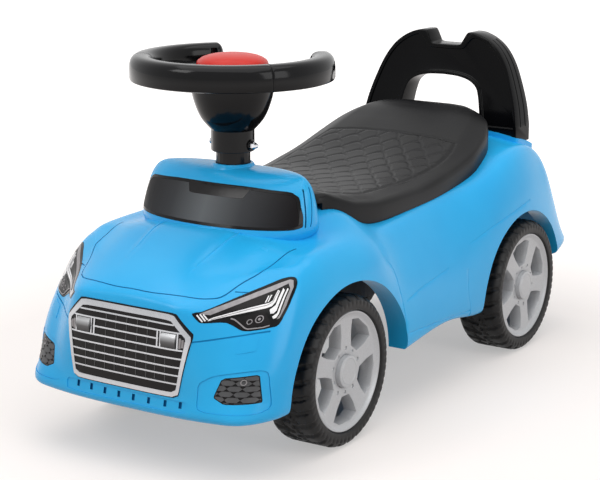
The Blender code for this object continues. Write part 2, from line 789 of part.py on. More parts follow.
GRILLE_OUTLINE = octagon(GRILLE_HALF_WIDTH, GRILLE_BOTTOM_Z, GRILLE_TOP_Z, 0.0175, 0.0586)
HEADLIGHT_OUTLINE = [
    (0.0655, 0.1535), (0.0745, 0.1465), (0.0900, 0.1470), (0.1010, 0.1385), (0.1160, 0.1395),
    (0.1290, 0.1480), (0.1315, 0.1600), (0.1275, 0.1770), (0.1215, 0.1790),
]
VENT_OUTLINE = [
    (0.0790, 0.0720), (0.0760, 0.0780), (0.0815, 0.0905), (0.1060, 0.0975), (0.1250, 0.1005),
    (0.1265, 0.0790), (0.1080, 0.0745),
]
SCREEN_OUTLINE = [
    (0.0925, 0.2080), (0.0915, 0.2180), (0.0865, 0.2345), (0.0790, 0.2395), (0.0400, 0.2420),
    (-0.0400, 0.2420), (-0.0790, 0.2395), (-0.0865, 0.2345), (-0.0915, 0.2180), (-0.0925, 0.2080),
    (-0.0860, 0.2060), (0.0860, 0.2060),
]


def inlay(surface, name, outline, finish, depth, proud, reach):
    """A trim piece that fills its recess: returns the piece and the cutter for the recess."""
    low = NOSE_Y - PAST
    region = prism(name, grown(outline, -TOUCH_GAP), low, reach, finish, "y")
    piece = surface.layer(region, TOUCH_GAP - depth, proud)
    recess = prism(f"{name}_recess", outline, low, reach, finish, "y")
    cut(recess, surface.solid("floor", depth, drop=DROP))
    piece.data.materials.clear()
    piece.data.materials.append(finish)
    return piece, recess


def make_trim(surface):
    """The grille, lamps, vents and windscreen, and the recesses that they sit in."""
    reach = front(-0.050)
    recesses = []
    for name, outline, finish, proud in (
        ("grille_insert", GRILLE_OUTLINE, GRILLE_FOIL, 0.0015),
        ("headlight_left", HEADLIGHT_OUTLINE, LAMP_FOIL, 0.0008),
        ("fog_vent_left", VENT_OUTLINE, BLACK_SATIN, -0.0004),
        ("windscreen_panel", SCREEN_OUTLINE, SCREEN_FOIL, 0.0003),
    ):
        near = front(0.0) if name == "windscreen_panel" else reach
        piece, recess = inlay(surface, name, outline, finish, TRIM_THICKNESS / 2, proud, near)
        recesses.append(recess)
        if name.endswith("_left"):
            mirrored(piece, name.replace("_left", "_right"))
            recesses.append(mirrored(recess, f"{name}_recess_right"))
    return recesses


def leg_outline(grow):
    """One backrest leg's footprint, seen from above."""
    low_y = BACKREST_Y - grow
    high_y = BACKREST_Y + BACKREST_DEPTH + grow
    corner = grow + TOUCH_GAP / 2
    half = (LEG_OUTER_X - LEG_INNER_X) / 2 + grow
    middle = (LEG_OUTER_X + LEG_INNER_X) / 2
    return [(x + middle, y) for x, y in rounded_rectangle(half, low_y, high_y, corner, 3)]


def make_body_shell(surface, recesses):
    shell = surface.solid("body_shell", 0.0)
    hollow = thinned(surface.solid("hollow", SHELL_WALL, drop=DROP), HOLLOW_DETAIL)
    cut(shell, arch_cutters(0.0, ARCH_INNER_X, HALF_WIDTH + 2 * PAST, -PAST))
    cut(hollow, arch_cutters(SHELL_WALL, ARCH_RETURN_X, HALF_WIDTH + PAST, -DROP))
    bosses = [(side * x, y, 0) for side in (1, -1)
              for x, y in ((FRONT_BOSS_X, FRONT_AXLE_Y), (REAR_BOSS_X, REAR_AXLE_Y))]
    foot = BEAM_BOTTOM_Z + BEAM_HEIGHT + TOUCH_GAP
    for place in bosses:
        cut(hollow, round_cutter("boss", BOSS_RADIUS, foot, OVER_COWL_Z, place, steps=SCREW_STEPS))
    cut(shell, hollow)
    for side in (1, -1):
        around = [(side * x, y) for x, y in leg_outline(COLLAR_WALL)]
        collar = prism("collar", around, COLLAR_FOOT_Z, COLLAR_TOP_LIMIT_Z, SKY_BLUE)
        keep_inside(collar, surface.solid("collar_limit", -COLLAR_RISE))
        weld(shell, collar)
    lugs = []
    for side in (1, -1):
        low, high = sorted((side * HINGE_LUG_X, side * (HINGE_LUG_X + HINGE_LUG_THICKNESS)))
        lugs.append(prism("lug", eye_outline(SEAT_HINGE_Z - HINGE_ROOT_DEPTH, 1), low, high, SKY_BLUE, "x"))
    weld(shell, lugs)
    column = (0, COLUMN_Y, 0)
    weld(shell, turned("column_collar", [
        (COLUMN_RADIUS + SHELL_WALL, COLLAR_TOP_Z), (COLUMN_RADIUS + 2 * SHELL_WALL, COWL_ROOF_Z - 0.002),
        (COLUMN_RADIUS - 0.002, COWL_ROOF_Z - 0.002), (COLUMN_RADIUS - 0.002, COLLAR_TOP_Z),
    ], column, SKY_BLUE))
    cut(shell, round_cutter("column_hole", COLUMN_RADIUS + 2 * TOUCH_GAP, UNDER_DECK_Z, OVER_COWL_Z, column))
    cut(shell, prism("bin_mouth", bin_outline(TOUCH_GAP + RUNNING_GAP), UNDER_DECK_Z, OVER_DECK_Z, SKY_BLUE))
    for side in (1, -1):
        pocket = [(side * x, y) for x, y in leg_outline(TOUCH_GAP)]
        cut(shell, prism("pocket", pocket, BACKREST_BASE_Z - TOUCH_GAP, OVER_COWL_Z, SKY_BLUE))
    for place in bosses:
        pilot_top = BOSS_SCREW_TOP_Z + TOUCH_GAP
        cut(shell, round_cutter("pilot", SCREW_RADIUS + TOUCH_GAP, BEAM_BOTTOM_Z, pilot_top, place,
                                steps=SCREW_STEPS))
    cut(shell, hinge_bore("pin_hole"))
    cut(shell, recesses)
    return shell


def hinge_bore(name):
    reach = HINGE_PIN_HALF + PAST
    centre = (0, SEAT_HINGE_Y, SEAT_HINGE_Z)
    return cylinder(name, HINGE_PIN_RADIUS + TOUCH_GAP, -reach, reach, centre, SKY_BLUE, "x", PIN_STEPS)


def eye_outline(root, up):
    """A hinge ear seen from the side: half a round eye, and a stem to its root above or below."""
    outline = [(SEAT_HINGE_Y - HINGE_LUG_RADIUS, root), (SEAT_HINGE_Y + HINGE_LUG_RADIUS, root)]
    for step in range(EYE_STEPS + 1):
        angle = math.pi * step / EYE_STEPS
        outline.append((SEAT_HINGE_Y + HINGE_LUG_RADIUS * math.cos(angle),
                        SEAT_HINGE_Z + up * HINGE_LUG_RADIUS * math.sin(angle)))
    return outline


# The storage bin, the seat that covers it and the backrest
def bin_outline(grow):
    return rounded_rectangle(BIN_HALF_WIDTH + grow, BIN_FRONT_Y - grow, BIN_REAR_Y + grow, BIN_CORNER + grow)


def make_storage_bin(surface):
    tub = prism("storage_bin", bin_outline(0.0), BIN_BOTTOM_Z, OVER_DECK_Z, GREY_PLASTIC)
    flange = prism("flange", bin_outline(BIN_FLANGE), BIN_FLANGE_FOOT_Z, OVER_DECK_Z, GREY_PLASTIC)
    cut(flange, surface.solid("deck_face", -TOUCH_GAP, drop=DROP))
    weld(tub, flange)
    keep_inside(tub, surface.solid("flange_top", -(TOUCH_GAP + BIN_WALL)))
    cut(tub, prism("bin_hollow", bin_outline(-BIN_WALL), BIN_BOTTOM_Z + BIN_WALL, OVER_COWL_Z, GREY_PLASTIC))
    tub.data.materials.clear()
    tub.data.materials.append(GREY_PLASTIC)


def seat_ring(behind, edge_x, edge_z, shoulder_z, panel_z, centre_z, inset, floor_z):
    """One cross-section of the seat, from the right edge over the top to the left edge."""
    half = [
        (edge_x - inset, floor_z), (edge_x - inset, edge_z - inset),
        (edge_x * 0.985 - inset, shoulder_z - 0.003 - inset), (edge_x * 0.93 - inset, shoulder_z - inset),
        (edge_x * 0.74, panel_z - inset), (edge_x * 0.40, centre_z - inset),
    ]
    whole = [(-x, z) for x, z in half] + [(0, centre_z - inset)] + [(x, z) for x, z in half[::-1]]
    return [(x, front(behind), z) for x, z in whole]


def seat_solid(name, inset, floor_z):
    """The seat's block down to a level, or the room inside it when inset by its wall."""
    rows = SEAT_ROWS
    if inset:
        rows = [(SEAT_ROWS[0][0] + inset, *SEAT_ROWS[1][1:])]
        rows += [row for row in SEAT_ROWS if rows[0][0] < row[0] < SEAT_ROWS[-1][0] - inset]
        rows += [(SEAT_ROWS[-1][0] - inset, *SEAT_ROWS[-1][1:])]
    return skin(name, [seat_ring(*row, inset, floor_z) for row in rows], BLACK_SATIN)


def hinge_room():
    """What the lid's nose gives up to swing down past the deck and past the shell's two hinge lugs."""
    nose = front(SEAT_ROWS[0][0]) - HINGE_ROOT_DEPTH
    edge = SEAT_ROWS[0][1] + HINGE_ROOT_DEPTH
    rooms = [box("nose_room", (-edge, nose, SEAT_HINGE_Z - 2 * HINGE_ROOT_DEPTH),
                 (edge, SEAT_HINGE_Y, SEAT_HINGE_Z - HINGE_SWING_DROP), BLACK_SATIN)]
    for side in (1, -1):
        far = HINGE_LUG_X + HINGE_LUG_THICKNESS + RUNNING_GAP
        low, high = sorted((side * (HINGE_LUG_X - RUNNING_GAP), side * far))
        rooms.append(box("lug_room", (low, nose, SEAT_HINGE_Z - HINGE_ROOT_DEPTH),
                         (high, SEAT_HINGE_Y, SEAT_HINGE_Z + HINGE_LUG_RADIUS + TOUCH_GAP), BLACK_SATIN))
    return rooms


def make_seat(surface):
    lid = seat_solid("seat_lid", 0.0, SEAT_FLOOR_Z)
    cut(lid, seat_solid("seat_hollow", SEAT_WALL, SEAT_FLOOR_Z - DROP))
    cut(lid, surface.solid("deck_under_seat", -SEAT_REST_GAP, drop=DROP))
    cut(lid, hinge_room())
    ears = []
    for side in (1, -1):
        low, high = sorted((side * (HINGE_LUG_X - RUNNING_GAP), side * (HINGE_LUG_X - HINGE_EAR_THICKNESS)))
        ears.append(prism("ear", eye_outline(SEAT_EAR_TOP_Z, -1), low, high, BLACK_SATIN, "x"))
    weld(lid, ears)
    cut(lid, hinge_bore("ear_hole"))
    lid.data.materials.clear()
    lid.data.materials.append(BLACK_SATIN)
    hinge = (0, SEAT_HINGE_Y, SEAT_HINGE_Z)
    set_origin(lid, hinge)
    cylinder("seat_hinge_pin", HINGE_PIN_RADIUS, -HINGE_PIN_HALF, HINGE_PIN_HALF, hinge, STEEL, "x",
             PIN_STEPS)


def backrest_depth(height):
    """The rest's front face at a height, and its depth: upright in its pockets, leaning above them."""
    share = max(0.0, (height - BACKREST_LEAN_Z) / (BACKREST_TOP_Z - BACKREST_LEAN_Z))
    face = BACKREST_Y + BACKREST_LEAN * share
    return face, BACKREST_DEPTH + (BACKREST_TOP_DEPTH - BACKREST_DEPTH) * share


def backrest_outline():
    """Half of the outer line and the hand hole, from the foot up and back down, as (x, z)."""
    outer = [(LEG_OUTER_X, BACKREST_BASE_Z), (LEG_OUTER_X, BACKREST_LEAN_Z)]
    outer += [(x, BACKREST_TOP_Z - below) for x, below in BACKREST_OUTER]
    inner = [(x, BACKREST_TOP_Z - below) for x, below in BACKREST_INNER]
    inner += [(LEG_INNER_X, BACKREST_LEAN_Z), (LEG_INNER_X, BACKREST_BASE_Z)]
    return outer + inner


def make_backrest():
    half = backrest_outline()
    halves = []
    for side in (1, -1):
        halves.append(prism("backrest_half", [(side * x, z) for x, z in half], 0.0, 1.0, BLACK_GLOSS, "y"))
    rest = halves[0]
    rest.name = "backrest"
    weld(rest, halves[1])
    for vertex in rest.data.vertices:
        face, depth = backrest_depth(vertex.co.z)
        vertex.co.y = face + depth * vertex.co.y


# Wheels
def make_wheel(corner, centre, side):
    """Tyre, rim and hub cap, modelled for the left side and turned over for the right."""
    half = TYRE_WIDTH / 2
    inner = RIM_RADIUS
    outer_half = [
        (inner, half - 0.0025), (inner + 0.003, half), (TYRE_RADIUS - 0.0045, half - 0.001),
        (TYRE_RADIUS, half - 0.006),
    ]
    whole = outer_half + [(radius, -reach) for radius, reach in outer_half[::-1]]
    tyre = turned(f"tyre_{corner}", whole, (0, 0, 0), TYRE_BLACK, "x", WHEEL_STEPS)
    outer = RIM_RADIUS - TOUCH_GAP
    bore = AXLE_RADIUS + RUNNING_GAP
    barrel = outer - RIM_BARREL
    hub = HUB_RADIUS - 0.003
    socket = HUB_RADIUS + TOUCH_GAP
    rim = turned(f"rim_{corner}", [
        (outer, RIM_LIP), (outer, -RIM_LIP), (barrel, -RIM_LIP), (barrel, RIM_DISC_BACK),
        (hub, RIM_DISC_BACK), (hub, -HUB_BACK), (bore, -HUB_BACK), (bore, HUB_FLOOR), (socket, HUB_FLOOR),
        (socket, RIM_FACE), (barrel - 0.003, RIM_FACE),
    ], (0, 0, 0), RIM_GREY, "x", WHEEL_STEPS)
    windows = []
    for spoke in range(SPOKE_COUNT):
        middle = math.tau * (spoke + 0.5) / SPOKE_COUNT
        corners = WINDOW_HALF + [WINDOW_CREST] + [(reach, -spread) for reach, spread in WINDOW_HALF[::-1]]
        outline = [(reach * math.cos(middle + spread), reach * math.sin(middle + spread))
                   for reach, spread in corners]
        windows.append(prism("window", outline, RIM_DISC_BACK - 0.01, RIM_FACE + 0.01, RIM_GREY, "x"))
    cut(rim, windows)
    cap_face = HUB_FLOOR + HUB_CAP_HEIGHT
    cap = turned(f"hub_cap_{corner}", [
        (0, cap_face), (HUB_RADIUS - 0.001, cap_face), (HUB_RADIUS, cap_face - 0.001),
        (HUB_RADIUS, HUB_FLOOR + TOUCH_GAP), (HUB_RADIUS - 0.002, HUB_FLOOR + TOUCH_GAP),
        (HUB_RADIUS - 0.002, cap_face - HUB_CAP_THICKNESS), (0, cap_face - HUB_CAP_THICKNESS),
    ], (0, 0, 0), RIM_GREY, "x", 20)
    for piece in (tyre, rim, cap):
        if side < 0:
            piece.data.transform(Matrix.Diagonal((-1, 1, 1, 1)))
            piece.data.flip_normals()
        piece.location = centre


def make_axle_clip(name, x, y, side):
    """A push-on cap that keeps the wheel on its axle."""
    low, high = sorted((side * x, side * (x + CLIP_THICKNESS)))
    bore = AXLE_RADIUS + TOUCH_GAP
    profile = [(CLIP_RADIUS, high), (CLIP_RADIUS, low), (bore, low), (bore, high)]
    return turned(name, profile, (0, y, TYRE_RADIUS), STEEL, "x", PIN_STEPS)


# Running gear
def make_knuckle(label, side):
    x = side * KINGPIN_X
    foot = TYRE_RADIUS - KNUCKLE_DROP
    top = BEAM_BOTTOM_Z - TOUCH_GAP
    centre = (x, FRONT_AXLE_Y, 0)
    knuckle = cylinder(f"knuckle_{label}", KNUCKLE_RADIUS, foot, top, centre, GREY_PLASTIC, steps=PIN_STEPS)
    pin_top = BEAM_BOTTOM_Z + BEAM_HEIGHT + KINGPIN_PROUD
    pin = cylinder("kingpin", KINGPIN_RADIUS, top - 0.002, pin_top, centre, GREY_PLASTIC, steps=PIN_STEPS)
    arm_top = TIE_BAR_BOTTOM_Z - TOUCH_GAP
    arm = prism("arm", [
        (x - 0.005, FRONT_AXLE_Y), (x + 0.005, FRONT_AXLE_Y), (x + 0.005, TIE_ROD_Y),
        (x + 0.003, TIE_ROD_Y + 0.005), (x - 0.003, TIE_ROD_Y + 0.005), (x - 0.005, TIE_ROD_Y),
    ], foot + RUNNING_GAP, arm_top, GREY_PLASTIC)
    tie_pin = cylinder("tie_pin", TIE_PIN_RADIUS, arm_top - 0.002, TIE_BAR_BOTTOM_Z + TIE_BAR_HEIGHT + 0.002,
                       (x, TIE_ROD_Y, 0), GREY_PLASTIC, steps=TIE_PIN_STEPS)
    weld(knuckle, [pin, arm, tie_pin])
    hole_low, hole_high = sorted((side * (KINGPIN_X - 0.02), side * (KINGPIN_X + 0.02)))
    cut(knuckle, round_cutter("stub_hole", AXLE_RADIUS + TOUCH_GAP, hole_low, hole_high,
                              (0, FRONT_AXLE_Y, TYRE_RADIUS), "x", PIN_STEPS))
    clip_low = BEAM_BOTTOM_Z + BEAM_HEIGHT + TOUCH_GAP
    clip = turned(f"kingpin_clip_{label}", [
        (CLIP_RADIUS, clip_low + 0.002), (CLIP_RADIUS, clip_low), (KINGPIN_RADIUS + TOUCH_GAP, clip_low),
        (KINGPIN_RADIUS + TOUCH_GAP, clip_low + 0.002),
    ], centre, STEEL, steps=PIN_STEPS)
    head = KINGPIN_X - KNUCKLE_RADIUS - TOUCH_GAP
    end = wheel_centre_x() + HUB_FLOOR + CLIP_THICKNESS + 0.002
    profile = [(0, end), (AXLE_RADIUS, end), (AXLE_RADIUS, head), (AXLE_RADIUS + 0.002, head),
               (AXLE_RADIUS + 0.002, head - 0.002), (0, head - 0.002)]
    stub = turned(f"stub_axle_{label}", profile, (0, 0, 0), STEEL, "x", PIN_STEPS)
    if side < 0:
        stub.data.transform(Matrix.Diagonal((-1, 1, 1, 1)))
        stub.data.flip_normals()
    stub.location = (0, FRONT_AXLE_Y, TYRE_RADIUS)
    freeze(stub)
    clip_x = wheel_centre_x() + HUB_FLOOR + TOUCH_GAP
    axle_clip = make_axle_clip(f"axle_clip_front_{label}", clip_x, FRONT_AXLE_Y, side)
    pivot = (x, FRONT_AXLE_Y, TYRE_RADIUS)
    for piece in (knuckle, clip, stub, axle_clip):
        set_origin(piece, pivot)


def wheel_centre_x():
    return TYRE_OUTER_X - TYRE_WIDTH / 2


def make_front_beam():
    reach = KINGPIN_X + KNUCKLE_RADIUS
    top = BEAM_BOTTOM_Z + BEAM_HEIGHT
    beam = box("front_axle_beam", (-reach, FRONT_AXLE_Y - BEAM_HALF_DEPTH, BEAM_BOTTOM_Z),
               (reach, FRONT_AXLE_Y + BEAM_HALF_DEPTH, top), GREY_PLASTIC, BEAM_EDGE)
    low = BEAM_BOTTOM_Z - PAST
    high = top + PAST
    holes = [round_cutter("rod_bush_seat", BUSH_RADIUS + TOUCH_GAP, low, high, (0, COLUMN_Y, 0))]
    for side in (1, -1):
        holes.append(round_cutter("kingpin_hole", KINGPIN_RADIUS + RUNNING_GAP, low, high,
                                  (side * KINGPIN_X, FRONT_AXLE_Y, 0), steps=PIN_STEPS))
        holes.append(round_cutter("screw_hole", SCREW_RADIUS + TOUCH_GAP, low, high,
                                  (side * FRONT_BOSS_X, FRONT_AXLE_Y, 0), steps=SCREW_STEPS))
    cut(beam, holes)
    flange = BUSH_RADIUS + 0.002
    seat_z = top + TOUCH_GAP
    bush_foot = BEAM_BOTTOM_Z + 0.001
    bore = ROD_RADIUS + RUNNING_GAP
    turned("rod_bush", [
        (flange, seat_z + 0.002), (flange, seat_z), (BUSH_RADIUS, seat_z), (BUSH_RADIUS, bush_foot),
        (bore, bush_foot), (bore, seat_z + 0.002),
    ], (0, COLUMN_Y, 0), RIM_GREY, steps=20)
    make_screws("front_beam_screw", FRONT_BOSS_X, FRONT_AXLE_Y)


def make_screws(name, x, y):
    """Two pan-head screws up through a beam into the shell's bosses."""
    head_top = BEAM_BOTTOM_Z - TOUCH_GAP
    for label, side in (("left", 1), ("right", -1)):
        turned(f"{name}_{label}", [
            (0, BOSS_SCREW_TOP_Z), (SCREW_RADIUS, BOSS_SCREW_TOP_Z), (SCREW_RADIUS, head_top),
            (SCREW_HEAD_RADIUS, head_top), (SCREW_HEAD_RADIUS * 0.8, head_top - 0.002), (0, head_top - 0.002),
        ], (side * x, y, 0), STEEL, steps=SCREW_STEPS)


def make_rear_carrier():
    reach = KINGPIN_X + KNUCKLE_RADIUS
    top = BEAM_BOTTOM_Z + BEAM_HEIGHT
    carrier = box("rear_axle_carrier", (-reach, REAR_AXLE_Y - BEAM_HALF_DEPTH, BEAM_BOTTOM_Z),
                  (reach, REAR_AXLE_Y + BEAM_HALF_DEPTH, top), GREY_PLASTIC, BEAM_EDGE)
    ears = []
    for side in (1, -1):
        low, high = sorted((side * reach, side * (reach - CARRIER_EAR)))
        root = BEAM_BOTTOM_Z + BEAM_EDGE
        outline = [(REAR_AXLE_Y - CARRIER_EAR_HALF, root), (REAR_AXLE_Y + CARRIER_EAR_HALF, root)]
        for step in range(EYE_STEPS + 1):
            angle = math.pi * step / EYE_STEPS
            outline.append((REAR_AXLE_Y + CARRIER_EAR_HALF * math.cos(angle),
                            TYRE_RADIUS - CARRIER_EAR_HALF * math.sin(angle)))
        ears.append(prism("ear", outline, low, high, GREY_PLASTIC, "x"))
    weld(carrier, ears)
    holes = [cylinder("axle_hole", AXLE_RADIUS + TOUCH_GAP, -reach - PAST, reach + PAST,
                      (0, REAR_AXLE_Y, TYRE_RADIUS), GREY_PLASTIC, "x", PIN_STEPS)]
    for side in (1, -1):
        holes.append(round_cutter("screw_hole", SCREW_RADIUS + TOUCH_GAP, BEAM_BOTTOM_Z - PAST, top + PAST,
                                  (side * REAR_BOSS_X, REAR_AXLE_Y, 0), steps=SCREW_STEPS))
    cut(carrier, holes)
    end = wheel_centre_x() + HUB_FLOOR + CLIP_THICKNESS + 0.002
    cylinder("rear_axle", AXLE_RADIUS, -end, end, (0, REAR_AXLE_Y, TYRE_RADIUS), STEEL, "x", PIN_STEPS)
    for label, side in (("left", 1), ("right", -1)):
        make_axle_clip(f"axle_clip_rear_{label}", wheel_centre_x() + HUB_FLOOR + TOUCH_GAP, REAR_AXLE_Y, side)
    make_screws("rear_carrier_screw", REAR_BOSS_X, REAR_AXLE_Y)


def make_tie_rod():
    """The bar behind the front axle that turns both knuckles from the steering rod's crank."""
    arm = TIE_ROD_Y - FRONT_AXLE_Y
    crank = TIE_ROD_Y - COLUMN_Y
    steer = math.radians(STEER_LIMIT_DEG)
    swing = max(crank * (1 - math.cos(steer)), arm * (1 - math.cos(steer * crank / arm)))
    lag = max(crank * (steer - math.sin(steer)), arm * (steer * crank / arm - math.sin(steer * crank / arm)))
    half_slot = TIE_PIN_RADIUS + lag + RUNNING_GAP
    slot_front = TIE_ROD_Y - swing - TIE_PIN_RADIUS - RUNNING_GAP
    slot_rear = TIE_ROD_Y + TIE_PIN_RADIUS + RUNNING_GAP
    reach = KINGPIN_X + 0.007
    bar = box("tie_rod", (-reach, slot_front - TIE_BAR_WALL, TIE_BAR_BOTTOM_Z),
              (reach, slot_rear + TIE_BAR_WALL, TIE_BAR_BOTTOM_Z + TIE_BAR_HEIGHT), STEEL, 0.001)
    slots = []
    for x in (-KINGPIN_X, 0, KINGPIN_X):
        outline = [(x + across, along) for across, along in
                   rounded_rectangle(half_slot, slot_front, slot_rear, half_slot * 0.95, 4)]
        slots.append(prism("slot", outline, TIE_BAR_BOTTOM_Z - PAST, TIE_BAR_BOTTOM_Z + 2 * PAST, STEEL))
    cut(bar, slots)
    return set_origin(bar, (0, TIE_ROD_Y, TIE_BAR_BOTTOM_Z + TIE_BAR_HEIGHT / 2))


# Steering
def make_steering_rod():
    column = (0, COLUMN_Y, 0)
    crank_low = TIE_BAR_BOTTOM_Z + TIE_BAR_HEIGHT + RUNNING_GAP
    rod = cylinder("steering_rod", ROD_RADIUS, crank_low, ROD_TOP_Z, column, STEEL, steps=PIN_STEPS)
    width = ROD_RADIUS
    arm = prism("crank", [
        (-width, COLUMN_Y - width), (width, COLUMN_Y - width), (width, TIE_ROD_Y + 0.003),
        (0.002, TIE_ROD_Y + width), (-0.002, TIE_ROD_Y + width), (-width, TIE_ROD_Y + 0.003),
    ], crank_low, crank_low + CRANK_THICKNESS, STEEL)
    pin = cylinder("crank_pin", TIE_PIN_RADIUS, TIE_BAR_BOTTOM_Z - 0.002, crank_low + 0.002,
                   (0, TIE_ROD_Y, 0), STEEL, steps=TIE_PIN_STEPS)
    weld(rod, [arm, pin])
    cut(rod, bolt_way())
    set_origin(rod, (0, COLUMN_Y, BOLT_Z))
    bore = ROD_RADIUS + TOUCH_GAP
    tube = turned("column_tube", [
        (COLUMN_RADIUS, COLUMN_TOP_Z), (COLUMN_RADIUS, COLUMN_BOTTOM_Z), (bore, COLUMN_BOTTOM_Z),
        (bore, COLUMN_TOP_Z),
    ], column, BLACK_GLOSS, steps=24)
    cut(tube, bolt_way())
    set_origin(tube, (0, COLUMN_Y, BOLT_Z))


def bolt_way():
    reach = SLEEVE_RADIUS + PAST
    centre = (0, COLUMN_Y, BOLT_Z)
    return round_cutter("bolt_way", BOLT_RADIUS + TOUCH_GAP, -reach, reach, centre, "x", BOLT_STEPS)


def bowl_profile(inset):
    """The bowl's outer line, from the lip down to the sleeve, drawn in by a wall."""
    height = BOWL_HEIGHT - TOUCH_GAP
    width = BOWL_RADIUS - SLEEVE_RADIUS
    return [(SLEEVE_RADIUS + across * width - inset, BOWL_BOTTOM_Z + up * height)
            for up, across in BOWL_SECTION]


def make_bowl():
    column = (0, COLUMN_Y, 0)
    floor_z = BOWL_BOTTOM_Z + BOWL_WALL
    inside = [(radius, z) for radius, z in bowl_profile(BOWL_WALL) if z > floor_z + 0.001]
    bore = COLUMN_RADIUS + TOUCH_GAP
    outside = bowl_profile(0.0) + [
        (SLEEVE_RADIUS, BOWL_BOTTOM_Z - 0.002), (SLEEVE_RADIUS, SLEEVE_BOTTOM_Z), (bore, SLEEVE_BOTTOM_Z),
        (bore, BOWL_BOTTOM_Z), (0, BOWL_BOTTOM_Z),
    ]
    profile = [(0, floor_z), (SLEEVE_RADIUS - 0.002, floor_z)] + inside[::-1] + outside
    bowl = turned("hub_bowl", profile, column, BLACK_GLOSS, steps=24)
    tab = box("tab", (-SLEEVE_RADIUS - 0.003, COLUMN_Y - 0.004, SLEEVE_BOTTOM_Z - 0.002),
              (-SLEEVE_RADIUS + 0.0015, COLUMN_Y + 0.004, BOWL_BOTTOM_Z), BLACK_GLOSS, 0.0008)
    pad = cylinder("bolt_pad", 0.0055, SLEEVE_RADIUS - 0.002, SLEEVE_RADIUS + BOLT_PAD, (0, COLUMN_Y, BOLT_Z),
                   BLACK_GLOSS, "x", PIN_STEPS)
    weld(bowl, [tab, pad])
    cut(bowl, bolt_way())
    set_origin(bowl, (0, COLUMN_Y, WHEEL_BOTTOM_Z))


def make_clamp_bolt():
    """The bolt through sleeve, tube and rod, with a domed nut at the car's left."""
    start = -(SLEEVE_RADIUS + 0.003 + TOUCH_GAP)
    nut_low = SLEEVE_RADIUS + BOLT_PAD + TOUCH_GAP
    bolt = turned("clamp_bolt", [
        (0, nut_low + 0.003), (BOLT_RADIUS, nut_low + 0.003), (BOLT_RADIUS, start), (0.0035, start),
        (0.0032, start - 0.002), (0, start - 0.0025),
    ], (0, COLUMN_Y, BOLT_Z), STEEL, "x", BOLT_STEPS)
    nut = turned("acorn_nut", [
        (0, nut_low + 0.0070), (0.0022, nut_low + 0.0060), (0.0030, nut_low + 0.0032),
        (0.0040, nut_low + 0.0028), (0.0040, nut_low), (BOLT_RADIUS + TOUCH_GAP, nut_low),
        (BOLT_RADIUS + TOUCH_GAP, nut_low + 0.0040), (0, nut_low + 0.0044),
    ], (0, COLUMN_Y, BOLT_Z), STEEL, "x", BOLT_STEPS)
    for piece in (bolt, nut):
        set_origin(piece, (0, COLUMN_Y, BOLT_Z))


# The steering rim's section, as shares of its width and height
RIM_SECTION = [
    (0.0, 0.08), (0.08, 0.0), (0.92, 0.0), (1.0, 0.08), (1.0, 0.52), (0.90, 0.84), (0.66, 1.0), (0.34, 1.0),
    (0.10, 0.84), (0.0, 0.52),
]


def rim_ring(angle, inset, shrink=1.0):
    """The rim's section at an angle round the column, drawn in by a wall and shrunk towards its middle."""
    width = WHEEL_SECTION
    height = WHEEL_TOP_Z - WHEEL_BOTTOM_Z
    ring = []
    for across, up in RIM_SECTION:
        across = RIM_MIDDLE[0] + (across - RIM_MIDDLE[0]) * shrink * (1 - 2 * inset / width)
        up = RIM_MIDDLE[1] + (up - RIM_MIDDLE[1]) * shrink * (1 - 2 * inset / height)
        radius = WHEEL_RADIUS - width + across * width
        place = (radius * math.cos(angle), COLUMN_Y + radius * math.sin(angle), WHEEL_BOTTOM_Z + up * height)
        ring.append(place)
    return ring


def rim_arc(name, start_deg, end_deg, inset, steps, round_end=False):
    start = math.radians(start_deg)
    end = math.radians(end_deg)
    rings = [rim_ring(start + (end - start) * step / steps, inset) for step in range(steps + 1)]
    if round_end:
        way = 1 if end > start else -1
        for reach, shrink in ((0.0045, 0.88), (0.0080, 0.50)):
            rings.append(rim_ring(end + way * reach / WHEEL_RADIUS, inset, shrink))
    return skin(name, rings, BLACK_GLOSS)


